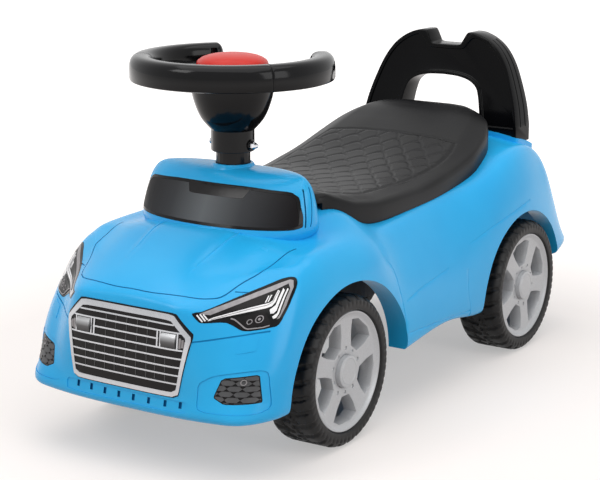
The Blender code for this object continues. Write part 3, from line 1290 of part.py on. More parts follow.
def make_steering_wheel():
    """The front arc, the core inside the grips, two spokes and the ring round the button."""
    inner = WHEEL_RADIUS - WHEEL_SECTION
    wheel = rim_arc("steering_wheel", -180 - GRIP_START_DEG, GRIP_START_DEG, 0.0, FRONT_ARC_STEPS)
    core_start = GRIP_START_DEG - CORE_ROOT_DEG
    core_end = GRIP_END_DEG - CORE_STOP_DEG
    core = rim_arc("core", core_start, core_end, GRIP_WALL + TOUCH_GAP, GRIP_STEPS)
    parts = [core, mirrored(core, "core_right")]
    floor_z = WHEEL_BOTTOM_Z + RING_FLOOR
    hole = BUTTON_RADIUS - 0.004
    ring = turned("button_ring", [
        (BOWL_RADIUS, SPOKE_TOP_Z), (BOWL_RADIUS, WHEEL_BOTTOM_Z), (hole, WHEEL_BOTTOM_Z), (hole, floor_z),
        (BUTTON_RADIUS + RUNNING_GAP, floor_z), (BUTTON_RADIUS + RUNNING_GAP, SPOKE_TOP_Z),
    ], (0, COLUMN_Y, 0), BLACK_GLOSS, steps=24)
    parts.append(ring)
    for side in (1, -1):
        low, high = sorted((side * (BOWL_RADIUS - 0.003), side * (inner + GRIP_WALL + 0.004)))
        parts.append(box("spoke", (low, COLUMN_Y - SPOKE_HALF, floor_z),
                         (high, COLUMN_Y + SPOKE_HALF, floor_z + SPOKE_THICKNESS), BLACK_GLOSS, 0.001))
    weld(wheel, parts)
    set_origin(wheel, (0, COLUMN_Y, WHEEL_BOTTOM_Z))
    gap_deg = math.degrees(TOUCH_GAP / WHEEL_RADIUS)
    grip = rim_arc("grip_left", GRIP_START_DEG + gap_deg, GRIP_END_DEG, 0.0, GRIP_STEPS, round_end=True)
    core_room = rim_arc("core_room", core_start, core_end + gap_deg, GRIP_WALL, GRIP_STEPS)
    slot_half = SPOKE_HALF + 0.001
    slot = box("spoke_slot", (BOWL_RADIUS + 0.02, COLUMN_Y - slot_half, floor_z - TOUCH_GAP),
               (inner + GRIP_WALL + 0.006, COLUMN_Y + slot_half, floor_z + SPOKE_THICKNESS + TOUCH_GAP),
               BLACK_GLOSS)
    cut(grip, [core_room, slot])
    set_origin(grip, (0, COLUMN_Y, WHEEL_BOTTOM_Z))
    mirrored(grip, "grip_right")


def make_horn():
    """The button, its spring and the sound box with its speaker, all inside the bowl."""
    column = (0, COLUMN_Y, 0)
    skirt = BUTTON_TOP_Z - BUTTON_HEIGHT
    ceiling = BUTTON_TOP_Z - BUTTON_CROWN_WALL
    button = turned("horn_button", [
        (0, BUTTON_TOP_Z), (0.014, BUTTON_TOP_Z - 0.0006), (0.025, BUTTON_TOP_Z - 0.0028),
        (BUTTON_RADIUS - 0.0015, BUTTON_TOP_Z - 0.0068), (BUTTON_RADIUS, BUTTON_TOP_Z - 0.009),
        (BUTTON_RADIUS, skirt), (BUTTON_RADIUS - 0.002, skirt),
        (BUTTON_RADIUS - 0.002, BUTTON_TOP_Z - 0.0095), (0.010, ceiling), (0, ceiling),
    ], column, BUTTON_RED, steps=24)
    set_origin(button, (0, COLUMN_Y, skirt))
    spring_top = ceiling - TOUCH_GAP
    spring = turned("horn_spring", [
        (SPRING_RADIUS, spring_top), (SPRING_RADIUS, SOUND_BOX_TOP_Z + TOUCH_GAP),
        (SPRING_RADIUS - 0.0012, SOUND_BOX_TOP_Z + TOUCH_GAP), (SPRING_RADIUS - 0.0012, spring_top),
    ], column, STEEL, steps=16)
    room = [(radius - TOUCH_GAP, z) for radius, z in bowl_profile(BOWL_WALL)
            if SOUND_BOX_TOP_Z > z > BOWL_BOTTOM_Z + 0.004]
    upper = (room[0][0] + 0.0015, SOUND_BOX_TOP_Z)
    profile = [(0, SOUND_BOX_TOP_Z), upper] + room + [(0, room[-1][1])]
    sound_box = turned("sound_box", profile, column, GREY_PLASTIC, steps=20)
    speaker_top = room[-1][1] - TOUCH_GAP
    speaker_foot = BOWL_BOTTOM_Z + BOWL_WALL + TOUCH_GAP
    speaker = turned("speaker", [
        (0, speaker_top), (SPEAKER_RADIUS, speaker_top), (SPEAKER_RADIUS - 0.002, speaker_foot),
        (0, speaker_foot),
    ], column, STEEL, steps=20)
    for piece in (spring, sound_box, speaker):
        set_origin(piece, (0, COLUMN_Y, WHEEL_BOTTOM_Z))


def main():
    surface = Surface()
    recesses = make_trim(surface)
    make_body_shell(surface, recesses)
    make_storage_bin(surface)
    make_seat(surface)
    make_backrest()
    discard(surface.body)
    make_front_beam()
    make_rear_carrier()
    make_tie_rod()
    for label, side in (("left", 1), ("right", -1)):
        make_knuckle(label, side)
        for place, y in (("front", FRONT_AXLE_Y), ("rear", REAR_AXLE_Y)):
            make_wheel(f"{place}_{label}", (side * wheel_centre_x(), y, TYRE_RADIUS), side)
    make_steering_rod()
    make_bowl()
    make_clamp_bolt()
    make_steering_wheel()
    make_horn()


main()
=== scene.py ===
# %% [markdown]
# A child's foot-to-floor ride-on car, dressed over its CAD frame.
# The CAD solids give every piece its place. This file gives each visible piece its full shape and its
# surface, and each step says what the real piece is before it is made.

import json
import math

import bmesh
import bpy
from mathutils import Matrix, Vector
from mathutils.bvhtree import BVHTree


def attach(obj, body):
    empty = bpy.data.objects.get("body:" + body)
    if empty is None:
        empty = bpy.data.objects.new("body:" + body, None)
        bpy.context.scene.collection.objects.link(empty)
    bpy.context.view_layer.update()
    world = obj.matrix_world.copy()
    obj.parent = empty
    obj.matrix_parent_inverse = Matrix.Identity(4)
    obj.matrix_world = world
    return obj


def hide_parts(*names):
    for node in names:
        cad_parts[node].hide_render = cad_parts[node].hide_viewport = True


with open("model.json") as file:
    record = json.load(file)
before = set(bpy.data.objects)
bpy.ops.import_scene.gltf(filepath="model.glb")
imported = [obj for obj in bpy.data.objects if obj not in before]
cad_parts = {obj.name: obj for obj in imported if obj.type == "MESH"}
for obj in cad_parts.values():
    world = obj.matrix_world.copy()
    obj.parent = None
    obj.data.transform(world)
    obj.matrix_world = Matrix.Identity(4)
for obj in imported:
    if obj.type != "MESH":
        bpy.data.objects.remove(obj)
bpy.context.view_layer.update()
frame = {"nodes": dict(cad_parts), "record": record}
nodes = frame["nodes"]

# %% [markdown]
# The camera stands where the photograph was taken from: in front of the car, on its left side, a little
# above the bonnet and far away, which is why the wheels look almost equal in size. A long lens is used,
# with the sensor's width in millimetres giving the angle.

# %% Camera
CAMERA_PLACE = Vector((0.9468, -1.4914, 0.5713))
CAMERA_TARGET = Vector((-0.0421, 0.0173, 0.1382))
FOCAL_PIXELS = 1743.8
IMAGE_WIDTH = 600
SENSOR_MM = 36.0

lens = bpy.data.cameras.new("photo_lens")
lens.sensor_width = SENSOR_MM
lens.sensor_fit = "HORIZONTAL"
lens.lens = FOCAL_PIXELS * SENSOR_MM / IMAGE_WIDTH
camera = bpy.data.objects.new("photo_camera", lens)
bpy.context.scene.collection.objects.link(camera)
camera.location = CAMERA_PLACE
camera.rotation_euler = (CAMERA_TARGET - CAMERA_PLACE).to_track_quat("-Z", "Y").to_euler()
bpy.context.scene.camera = camera
bpy.context.scene.view_settings.view_transform = "Standard"
print("lens", round(lens.lens, 2), "mm")

# %% [markdown]
# Colours are written as sRGB hex, as a paint chart gives them, and turned to linear light once.
# One function adds a node, sets its values and links its inputs, so that each finish reads as a list.

# %% Colour and node helpers
def colour(code):
    """A #RRGGBB colour as linear red, green, blue and alpha."""
    parts = [int(code[place:place + 2], 16) / 255 for place in (1, 3, 5)]
    linear = [part / 12.92 if part <= 0.04045 else ((part + 0.055) / 1.055) ** 2.4 for part in parts]
    return (*linear, 1.0)


def add_node(material, kind, values, links):
    """Adds one node; a value goes to the input of that name, or else to the node's own setting."""
    made = material.node_tree.nodes.new(kind)
    for name, value in values.items():
        if name in made.inputs:
            made.inputs[name].default_value = value
        else:
            setattr(made, name, value)
    for name, source in links.items():
        material.node_tree.links.new(source, made.inputs[name])
    return made


def new_finish(name, base, roughness, more=None):
    """A material with its uniform values set on the shader's own sockets."""
    material = bpy.data.materials.new(name)
    material.use_nodes = True
    shader = material.node_tree.nodes["Principled BSDF"]
    shader.inputs["Base Color"].default_value = colour(base)
    shader.inputs["Roughness"].default_value = roughness
    for socket, value in (more or {}).items():
        shader.inputs[socket].default_value = value
    material.diffuse_color = colour(base)
    return material, shader


def per_mm(size):
    """A noise scale whose grains measure about this many millimetres."""
    return 1000.0 / size


def mottle(material, shader, shades, size, rough=None, bump=None):
    """Colour that wanders between two shades, with roughness and a fine bump of stated sizes in mm."""
    place = add_node(material, "ShaderNodeTexCoord", {}, {}).outputs["Object"]
    cloud = add_node(material, "ShaderNodeTexNoise", {"Scale": per_mm(size), "Detail": 4.0},
                     {"Vector": place})
    ramp = add_node(material, "ShaderNodeValToRGB", {}, {"Fac": cloud.outputs["Fac"]})
    for stop, position, shade in zip(ramp.color_ramp.elements, (0.3, 0.7), shades):
        stop.position = position
        stop.color = colour(shade)
    links = material.node_tree.links
    links.new(ramp.outputs["Color"], shader.inputs["Base Color"])
    if rough:
        spread = add_node(material, "ShaderNodeMapRange", {"To Min": rough[0], "To Max": rough[1]},
                          {"Value": cloud.outputs["Fac"]})
        links.new(spread.outputs["Result"], shader.inputs["Roughness"])
    if bump:
        grain_mm, height_mm, strength = bump
        grain = add_node(material, "ShaderNodeTexNoise", {"Scale": per_mm(grain_mm), "Detail": 2.0},
                         {"Vector": place})
        relief = add_node(material, "ShaderNodeBump", {"Strength": strength, "Distance": height_mm / 1000},
                          {"Height": grain.outputs["Fac"]})
        links.new(relief.outputs["Normal"], shader.inputs["Normal"])


def mottled_finish(name, base, roughness, more, *mottling):
    """A finish as mottle makes it: shades, size, and where wanted the roughness and the bump."""
    material, shader = new_finish(name, base, roughness, more)
    mottle(material, shader, *mottling)
    return material


# %% [markdown]
# The shell is moulded in coloured polypropylene with a polished tool, so it is glossy, and slow ripples
# a few millimetres wide bend its reflections. Its grooves and slots get darker blues, which are painted
# shade, because little light gets into them. The black steering wheel is ABS and the backrest
# polypropylene, both from polished tools, and the seat is black polypropylene from a tool with a fine
# spark-eroded grain. The wheels are silver-grey pigmented polypropylene, where tiny flakes give a soft
# sparkle.

# %% Finishes of the moulded plastics
sky_blue = mottled_finish(
    "sky_blue_gloss_moulded_polypropylene", "#24ADEA", 0.26, {"IOR": 1.49, "Specular IOR Level": 0.30},
    ("#20A9E7", "#29B1ED"), 90, (0.22, 0.30), (7, 0.05, 0.35))
# Painted shade: a darker blue for the walls of the thin grooves.
groove_painted_shade_blue = mottled_finish(
    "sky_blue_with_painted_groove_shade", "#1583BD", 0.5, {"Specular IOR Level": 0.1},
    ("#127CB5", "#188AC4"), 20, (0.45, 0.55))
# Painted shade: a deeper blue for the slots low in the nose.
slot_painted_shade_blue = mottled_finish(
    "sky_blue_with_painted_slot_shade", "#0C5F99", 0.5, {"Specular IOR Level": 0.1},
    ("#0A5A93", "#0E659F"), 20, (0.45, 0.55))
gloss_black = mottled_finish(
    "black_gloss_moulded_abs", "#08080A", 0.13, {"IOR": 1.54, "Specular IOR Level": 0.16},
    ("#060607", "#0C0C0F"), 60, (0.10, 0.17), (6, 0.03, 0.25))
rest_black = mottled_finish(
    "black_moulded_polypropylene", "#060607", 0.16, {"IOR": 1.49, "Specular IOR Level": 0.09},
    ("#050506", "#09090B"), 60, (0.13, 0.20), (3, 0.03, 0.25))
satin_black = mottled_finish(
    "black_spark_eroded_polypropylene", "#0D0D0E", 0.34, {"IOR": 1.49, "Specular IOR Level": 0.19},
    ("#0B0B0C", "#121214"), 40, (0.30, 0.42), (0.9, 0.05, 0.4))
tyre_black = mottled_finish(
    "black_moulded_tyre_polyethylene", "#0D0D0E", 0.45, {"IOR": 1.51, "Specular IOR Level": 0.28},
    ("#0A0A0B", "#121213"), 25, (0.38, 0.52), (0.8, 0.08, 0.5))
silver_grey = mottled_finish(
    "silver_grey_pigmented_polypropylene", "#B7B9BC", 0.34,
    {"IOR": 1.49, "Metallic": 0.20, "Specular IOR Level": 0.4},
    ("#B1B3B6", "#C0C2C5"), 0.8, (0.30, 0.40), (0.7, 0.02, 0.3))
signal_red = mottled_finish(
    "red_satin_moulded_polypropylene", "#C6261B", 0.36, {"IOR": 1.49, "Specular IOR Level": 0.25},
    ("#C22318", "#CC2B1F"), 30, (0.30, 0.40), (1.2, 0.03, 0.3))
under_grey = mottled_finish(
    "dark_grey_moulded_polypropylene", "#3A3B3D", 0.5, {"IOR": 1.49},
    ("#353638", "#424345"), 30, (0.45, 0.6), (1.0, 0.05, 0.4))

# %% [markdown]
# The lamps, the grille and the windscreen are printed and hot-stamped foils under a clear lacquer.
# Bright strips are hot-stamped chrome, which mirrors the room softly, and the dark fields are black ink.
# The bolts, axles and clips are zinc-plated steel.

# %% Finishes of foils and steel
foil_black = mottled_finish(
    "black_printed_foil", "#0C0A0B", 0.26, {"IOR": 1.5, "Specular IOR Level": 0.2},
    ("#0A0809", "#110E0F"), 8, (0.18, 0.26), (0.6, 0.01, 0.3))
foil_chrome = mottled_finish(
    "hot_stamped_chrome_foil", "#B6B8BC", 0.22, {"Metallic": 0.85},
    ("#B3B5B9", "#B9BBBF"), 4, (0.18, 0.22), (0.9, 0.005, 0.3))
foil_grey = mottled_finish(
    "grey_silver_printed_foil", "#8B888A", 0.32, {"Metallic": 0.35},
    ("#827F81", "#949193"), 5, (0.28, 0.38), (0.5, 0.01, 0.3))
foil_white = mottled_finish(
    "white_printed_foil", "#F1F1F2", 0.30, {"IOR": 1.5, "Coat Weight": 0.4},
    ("#ECECEE", "#F6F6F7"), 10, (0.26, 0.34), (0.8, 0.01, 0.3))
vent_black = mottled_finish(
    "charcoal_moulded_abs", "#343436", 0.42, {"IOR": 1.54},
    ("#2F2F31", "#3B3B3D"), 6, (0.36, 0.48), (0.6, 0.03, 0.4))
zinc_steel = mottled_finish(
    "zinc_plated_steel", "#C9CBD0", 0.26, {"Metallic": 1.0},
    ("#BFC2C9", "#D6D7DA"), 3, (0.20, 0.34), (0.7, 0.02, 0.4))

# %% [markdown]
# The studio: a floor that keeps the soft shadow and goes to white, as in a product photograph, and
# broad lamps from above, from the nose's side and from the flank's side. The floor glows more the
# farther it is from the car, and only for rays that look at it. To such rays the room is white, and to
# the car it is a weaker light.

# %% Floor, lamps and world
FLOOR_HALF = 6.0
PAPER_WARM_GREY = (0.62, 0.565, 0.535, 1.0)
WHITE = (1.0, 1.0, 1.0, 1.0)
NEAR_GLOW = 0.40
FAR_GLOW = 0.98
GLOW_FROM = 0.40
GLOW_TO = 1.35
ROOM_LIGHT = 0.42


def looking_rays(owner, kinds):
    """One for a ray of the named kinds, and zero for light that falls on a surface."""
    path = add_node(owner, "ShaderNodeLightPath", {}, {})
    value = path.outputs[kinds[0]]
    for kind in kinds[1:]:
        either = add_node(owner, "ShaderNodeMath", {"operation": "MAXIMUM"}, {})
        owner.node_tree.links.new(value, either.inputs[0])
        owner.node_tree.links.new(path.outputs[kind], either.inputs[1])
        value = either.outputs["Value"]
    return value


def make_floor():
    bpy.ops.object.select_all(action="DESELECT")
    bpy.ops.mesh.primitive_plane_add(size=2 * FLOOR_HALF, location=(0, 0, 0))
    floor = bpy.context.object
    floor.name = "studio_floor"
    paper, shader = new_finish("white_studio_paper", "#FFFFFF", 0.9, {"Specular IOR Level": 0.0})
    shader.inputs["Base Color"].default_value = PAPER_WARM_GREY
    seen = looking_rays(paper, ("Is Camera Ray", "Is Glossy Ray"))
    place = add_node(paper, "ShaderNodeTexCoord", {}, {}).outputs["Object"]
    away = add_node(paper, "ShaderNodeVectorMath", {"operation": "LENGTH"}, {"Vector": place})
    fade = add_node(paper, "ShaderNodeMapRange",
                    {"From Min": GLOW_FROM, "From Max": GLOW_TO, "To Min": NEAR_GLOW, "To Max": FAR_GLOW},
                    {"Value": away.outputs["Value"]})
    glow = add_node(paper, "ShaderNodeMath", {"operation": "MULTIPLY"}, {})
    paper.node_tree.links.new(seen, glow.inputs[0])
    paper.node_tree.links.new(fade.outputs["Result"], glow.inputs[1])
    shader.inputs["Emission Color"].default_value = WHITE
    paper.node_tree.links.new(glow.outputs["Value"], shader.inputs["Emission Strength"])
    floor.data.materials.append(paper)


def add_lamp(name, place, target, size, watts):
    lamp = bpy.data.lights.new(name, "AREA")
    lamp.shape = "RECTANGLE"
    lamp.size = size[0]
    lamp.size_y = size[1]
    lamp.energy = watts
    holder = bpy.data.objects.new(name, lamp)
    bpy.context.scene.collection.objects.link(holder)
    holder.location = place
    holder.rotation_euler = (Vector(target) - Vector(place)).to_track_quat("-Z", "Y").to_euler()


make_floor()
add_lamp("top_softbox", (0.1, -0.35, 2.2), (0, 0, 0.1), (2.6, 2.6), 33)
add_lamp("nose_softbox", (-0.9, -1.75, 1.7), (0, -0.2, 0.2), (0.8, 0.7), 10)
add_lamp("flank_softbox", (2.2, -0.4, 1.0), (0, 0, 0.15), (1.2, 1.4), 14)

world = bpy.data.worlds.new("studio_room")
bpy.context.scene.world = world
world.use_nodes = True
backdrop = world.node_tree.nodes["Background"]
backdrop.inputs["Color"].default_value = WHITE
seen = looking_rays(world, ("Is Camera Ray", "Is Glossy Ray", "Is Transmission Ray"))
level = add_node(world, "ShaderNodeMapRange", {"To Min": ROOM_LIGHT, "To Max": 1.0}, {"Value": seen})
world.node_tree.links.new(level.outputs["Result"], backdrop.inputs["Strength"])

# %% [markdown]
# Modelling by hand means: add a start, shape it in edit mode, finish it with modifiers. These helpers
# do the same few moves each time. A profile is spun into a round piece, an outline is extruded into a
# flat piece, rings are lofted into a skin, a path becomes a thin tube, and modifiers are applied so that
# the mesh is what is seen.

# %% Modelling helpers
SMOOTH_DEG = 32.0
made_pieces = []


def pick_only(piece):
    bpy.ops.object.select_all(action="DESELECT")
    piece.select_set(True)
    bpy.context.view_layer.objects.active = piece


def mesh_piece(name, points, faces=(), edges=()):
    mesh = bpy.data.meshes.new(name)
    mesh.from_pydata([tuple(point) for point in points], list(edges), list(faces))
    piece = bpy.data.objects.new(name, mesh)
    bpy.context.scene.collection.objects.link(piece)
    return piece


def face_outwards(piece):
    """Merges doubles and turns all faces outwards, in edit mode."""
    pick_only(piece)
    bpy.ops.object.mode_set(mode="EDIT")
    bpy.ops.mesh.select_all(action="SELECT")
    bpy.ops.mesh.remove_doubles(threshold=0.00001)
    bpy.ops.mesh.normals_make_consistent(inside=False)
    bpy.ops.object.mode_set(mode="OBJECT")
    return piece


def apply_modifiers(piece):
    pick_only(piece)
    for modifier in list(piece.modifiers):
        bpy.ops.object.modifier_apply(modifier=modifier.name)
    return piece


def round_edges(piece, width, segments=2, angle_deg=35.0):
    """A bevel on every edge sharper than the angle."""
    bevel = piece.modifiers.new("soft_edge", "BEVEL")
    bevel.width = width
    bevel.segments = segments
    bevel.limit_method = "ANGLE"
    bevel.angle_limit = math.radians(angle_deg)
    return apply_modifiers(piece)


def subdivide(piece, levels):
    smooth = piece.modifiers.new("smooth", "SUBSURF")
    smooth.levels = levels
    smooth.render_levels = levels
    return apply_modifiers(piece)


def combine(piece, others, operation, finishes="INDEX"):
    """Adds, cuts or keeps the shape of other pieces, which are used up."""
    for other in others:
        boolean = piece.modifiers.new("combine", "BOOLEAN")
        boolean.material_mode = finishes
        boolean.operation = operation
        boolean.solver = "EXACT"
        boolean.object = other
        apply_modifiers(piece)
        bpy.data.objects.remove(other)
    return piece


def join(pieces):
    """Several pieces in one object, each keeping its own closed surface."""
    bpy.ops.object.select_all(action="DESELECT")
    for piece in pieces:
        piece.select_set(True)
    bpy.context.view_layer.objects.active = pieces[0]
    if len(pieces) > 1:
        bpy.ops.object.join()
    return pieces[0]


def finish_piece(piece, material, body, replaced=(), angle_deg=SMOOTH_DEG):
    """Smooth shading, the surface finish, the body that it moves with and what it stands for."""
    pick_only(piece)
    bpy.ops.object.shade_smooth_by_angle(angle=math.radians(angle_deg))
    if material:
        piece.data.materials.clear()
        piece.data.materials.append(material)
    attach(piece, body)
    if replaced:
        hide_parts(*replaced)
    made_pieces.append(piece)


def spun(name, profile, centre, axis, steps):
    """A profile of (radius, along) points turned round an axis through the centre."""
    out = {"x": Vector((0, 0, 1)), "y": Vector((1, 0, 0)), "z": Vector((1, 0, 0))}[axis]
    along = {"x": Vector((1, 0, 0)), "y": Vector((0, 1, 0)), "z": Vector((0, 0, 1))}[axis]
    middle = Vector(centre)
    points = [middle + out * radius + along * reach for radius, reach in profile]
    closed = profile[0][0] > 1e-6 and profile[-1][0] > 1e-6
    edges = [(place, place + 1) for place in range(len(points) - 1)]
    if closed:
        edges.append((len(points) - 1, 0))
    piece = mesh_piece(name, points, edges=edges)
    pick_only(piece)
    bpy.ops.object.mode_set(mode="EDIT")
    bpy.ops.mesh.select_all(action="SELECT")
    bpy.ops.mesh.spin(steps=steps, dupli=False, angle=math.tau, center=middle, axis=along)
    bpy.ops.object.mode_set(mode="OBJECT")
    return face_outwards(piece)


def extruded(name, outline, depth):
    """A flat outline of 3-D points carried along a vector, as extruding one face does."""
    count = len(outline)
    piece = mesh_piece(name, outline, faces=[list(range(count))])
    pick_only(piece)
    bpy.ops.object.mode_set(mode="EDIT")
    bpy.ops.mesh.select_all(action="SELECT")
    bpy.ops.mesh.extrude_region_move(TRANSFORM_OT_translate={"value": tuple(depth)})
    bpy.ops.object.mode_set(mode="OBJECT")
    return face_outwards(piece)


def lofted(name, rings):
    """Closed rings of equal length joined one after another, with both ends capped."""
    count = len(rings[0])
    points = [point for ring in rings for point in ring]
    faces = [list(range(count)), list(range(len(points) - count, len(points)))]
    for level in range(len(rings) - 1):
        for place in range(count):
            low = level * count
            after = (place + 1) % count
            faces.append([low + place, low + after, low + count + after, low + count + place])
    return face_outwards(mesh_piece(name, points, faces))


def flowing(points, per=6):
    """A smooth curve through all the points."""
    vectors = [Vector(point) for point in points]
    line = []
    for place, (near, far) in enumerate(zip(vectors, vectors[1:])):
        before = vectors[place - 1] if place else near * 2 - far
        after = vectors[place + 2] if place + 2 < len(vectors) else far * 2 - near
        for step in range(per):
            t = step / per
            line.append(0.5 * (2 * near + (far - before) * t
                               + (2 * before - 5 * near + 4 * far - after) * t * t
                               + (3 * near - before - 3 * far + after) * t ** 3))
    return line + [vectors[-1]]


def tube(name, path, radius):
    """A thin round bar along a path, closed at both ends, used to press grooves."""
    curve = bpy.data.curves.new(name, "CURVE")
    curve.dimensions = "3D"
    curve.bevel_depth = radius
    curve.bevel_resolution = 1
    curve.use_fill_caps = True
    line = curve.splines.new("POLY")
    line.points.add(len(path) - 1)
    for point, place in zip(line.points, path):
        point.co = (*place, 1.0)
    holder = bpy.data.objects.new(name, curve)
    bpy.context.scene.collection.objects.link(holder)
    pick_only(holder)
    bpy.ops.object.convert(target="MESH")
    return face_outwards(bpy.context.object)


def step_up(value, low, high):
    """Zero below low, one above high, and a smooth climb between."""
    share = min(max((value - low) / (high - low), 0.0), 1.0)
    return share * share * (3 - 2 * share)


def mirror_copy(piece, name):
    """The same piece on the car's right side, with its own mesh."""
    made = bpy.data.objects.new(name, piece.data.copy())
    bpy.context.scene.collection.objects.link(made)
    made.data.transform(Matrix.Diagonal((-1, 1, 1, 1)))
    made.data.flip_normals()
    return made


def finish_pair(left, material, body, replaced=(), angle_deg=SMOOTH_DEG):
    """Finishes a left piece and its mirror copy; each stands for the CAD pieces of its own side."""
    right = mirror_copy(left, left.name.replace("_left", "_right"))
    for side, piece in (("left", left), ("right", right)):
        finish_piece(piece, material, body, [f"{node}_{side}" for node in replaced], angle_deg)


def span(side, near, far):
    """Two distances from the car's middle as a low and a high x on one side."""
    return sorted((side * near, side * far))


# %% [markdown]
# The shell is one hollow moulding, 3 mm thick. Its surface is drawn as a cage of rings from the lower
# lip up to the shoulder, with rows across the top, as a modeller draws sections of a car body. The cage
# is subdivided, and pulled until the smooth surface passes through the drawn points.

# %% The shell's drawn points
FRONT_AXLE_Y = -0.1687
REAR_AXLE_Y = 0.2033
NOSE_Y = FRONT_AXLE_Y - 0.1664
TAIL_Y = REAR_AXLE_Y + 0.132
HALF_WIDTH = 0.1405
SHELL_WALL = 0.003
CORNER_FRONT = 4
CORNER_REAR = 16
CENTRE = 4
NOSE_COLUMNS = [
    [(0, .0146, .055), (0, 0, .062), (0, .001, .078), (0, .003, .112), (0, .008, .150),
     (0, .0135, .164), (0, .0295, .1725)],
    [(.035, .0155, .055), (.035, 0, .062), (.035, .0012, .078), (.035, .0033, .112), (.035, .0083, .150),
     (.035, .0145, .163), (.035, .0315, .172)],
    [(.066, .0185, .055), (.068, .002, .062), (.0685, .004, .078), (.070, .0065, .110), (.066, .0115, .148),
     (.063, .0185, .161), (.062, .0375, .170)],
    [(.090, .0245, .055), (.094, .006, .062), (.093, .0095, .079), (.093, .0205, .110), (.092, .0345, .142),
     (.090, .0495, .163), (.086, .0675, .1775)],
    [(.110, .0355, .056), (.117, .0145, .062), (.1165, .0205, .080), (.116, .0315, .110), (.114, .0505, .143),
     (.111, .0695, .167), (.106, .0875, .182)],
    [(.127, .0595, .058), (.1335, .0415, .063), (.134, .0445, .082), (.134, .0515, .110),
     (.131, .0675, .142), (.126, .0845, .168), (.117, .0995, .185)],
    [(.133, .0825, .061), (.137, .0755, .066), (.1385, .0755, .084), (.139, .0785, .112),
     (.1365, .0875, .143), (.131, .0995, .170), (.119, .1125, .188)],
]
TAIL_COLUMNS = [
    [(.120, .032, .092), (.127, .020, .099), (.1265, .023, .111), (.1255, .034, .130), (.1225, .0455, .160),
     (.117, .055, .190), (.104, .066, .2135)],
    [(.097, .0185, .092), (.102, .0065, .099), (.1015, .0095, .111), (.100, .0205, .130),
     (.098, .0325, .160), (.093, .0425, .190), (.082, .054, .2185)],
    [(.054, .013, .092), (.056, .001, .099), (.056, .004, .111), (.055, .0145, .130), (.054, .0255, .160),
     (.051, .0355, .190), (.048, .0495, .2205)],
    [(0, .012, .092), (0, 0, .099), (0, .003, .111), (0, .0135, .130), (0, .0245, .160), (0, .0345, .190),
     (0, .048, .221)],
]
FLANK_COLUMNS = [
    ("front", -.041, [(.0055, .064), (.002, .070), (.0005, .088), (0, .115), (.0015, .146), (.007, .173),
                      (.0195, .1905)]),
    ("front", 0, [(.0055, .064), (.002, .070), (.0005, .088), (0, .115), (.0015, .147), (.0070, .174),
                  (.0195, .1925)]),
    ("front", .054, [(.006, .066), (.0025, .072), (.001, .090), (.0005, .117), (.002, .147), (.0075, .173),
                     (.0215, .190)]),
    ("front", .092, [(.0055, .067), (.002, .072), (.001, .088), (.0015, .110), (.0065, .138), (.0155, .163),
                     (.0285, .184)]),
    ("front", .149, [(.0055, .0735), (.002, .078), (.0015, .092), (.0035, .112), (.0095, .138),
                     (.0195, .163), (.0315, .185)]),
    ("rear", -.168, [(.0055, .0745), (.002, .079), (.0015, .093), (.0035, .113), (.0095, .139),
                     (.0195, .165), (.0315, .188)]),
    ("rear", -.115, [(.006, .067), (.002, .073), (.001, .091), (.0015, .114), (.0055, .143), (.0135, .171),
                     (.0275, .194)]),
    ("rear", -.063, [(.0055, .072), (.002, .079), (.0005, .096), (0, .120), (.0015, .150), (.0075, .181),
                     (.0215, .2045)]),
    ("rear", 0, [(.0055, .078), (.002, .085), (.0005, .101), (0, .124), (.002, .155), (.0085, .190),
                 (.0215, .2195)]),
    ("rear", .049, [(.0075, .086), (.0035, .091), (.002, .105), (.003, .127), (.0075, .157), (.0155, .189),
                    (.0275, .2155)]),
]
TOP_ROWS = {
    5: ("front", [(.094, -.081, .183), (.066, -.103, .1815), (.035, -.113, .181), (0, -.115, .1815)]),
    6: ("front", [(.097, -.061, .189), (.070, -.073, .1925), (.036, -.077, .194), (0, -.078, .194)]),
    7: ("front", [(.100, -.041, .1935), (.075, -.044, .199), (.040, -.046, .2025), (0, -.046, .203)]),
    8: ("front", [(.101, 0, .1955), (.075, 0, .201), (.040, 0, .204), (0, 0, .204)]),
    9: ("front", [(.101, .054, .203), (.084, .054, .213), (.045, .054, .2145), (0, .054, .2145)]),
    10: ("front", [(.099, .092, .190), (.076, .092, .1915), (.040, .092, .1915), (0, .092, .1915)]),
    11: ("front", [(.096, .149, .1905), (.072, .149, .191), (.040, .149, .191), (0, .149, .191)]),
    12: ("rear", [(.096, -.168, .1945), (.072, -.168, .195), (.040, -.168, .195), (0, -.168, .195)]),
    13: ("rear", [(.099, -.115, .1995), (.074, -.115, .200), (.040, -.115, .200), (0, -.115, .200)]),
    14: ("rear", [(.101, -.063, .209), (.076, -.063, .210), (.040, -.063, .210), (0, -.063, .210)]),
    15: ("rear", [(.101, 0, .2265), (.075, 0, .229), (.040, 0, .2295), (0, 0, .2295)]),
}
COWL_RINGS = [
    (.183, [(0, -.062), (.045, -.058), (.081, -.042), (.1010, -.020), (.1000, .022), (.075, .030),
            (0, .034)]),
    (.206, [(0, -.053), (.044, -.0485), (.079, -.034), (.0990, -.013), (.0985, .0165), (.074, .029),
            (0, .033)]),
    (.226, [(0, -.0395), (.043, -.0365), (.077, -.0265), (.0970, -.008), (.0965, .0105), (.073, .0275),
            (0, .032)]),
    (.243, [(0, -.029), (.042, -.0265), (.074, -.0185), (.0930, -.003), (.0935, .0055), (.072, .026),
            (0, .031)]),
    (.2525, [(0, -.018), (.040, -.0165), (.066, -.010), (.083, .000), (.084, .004), (.066, .0225),
             (0, .0285)]),
]
COWL_ROOF_Z = .2545
COWL_FRONT_POINTS = 4


def beside(axle, distance):
    return (FRONT_AXLE_Y if axle == "front" else REAR_AXLE_Y) + distance


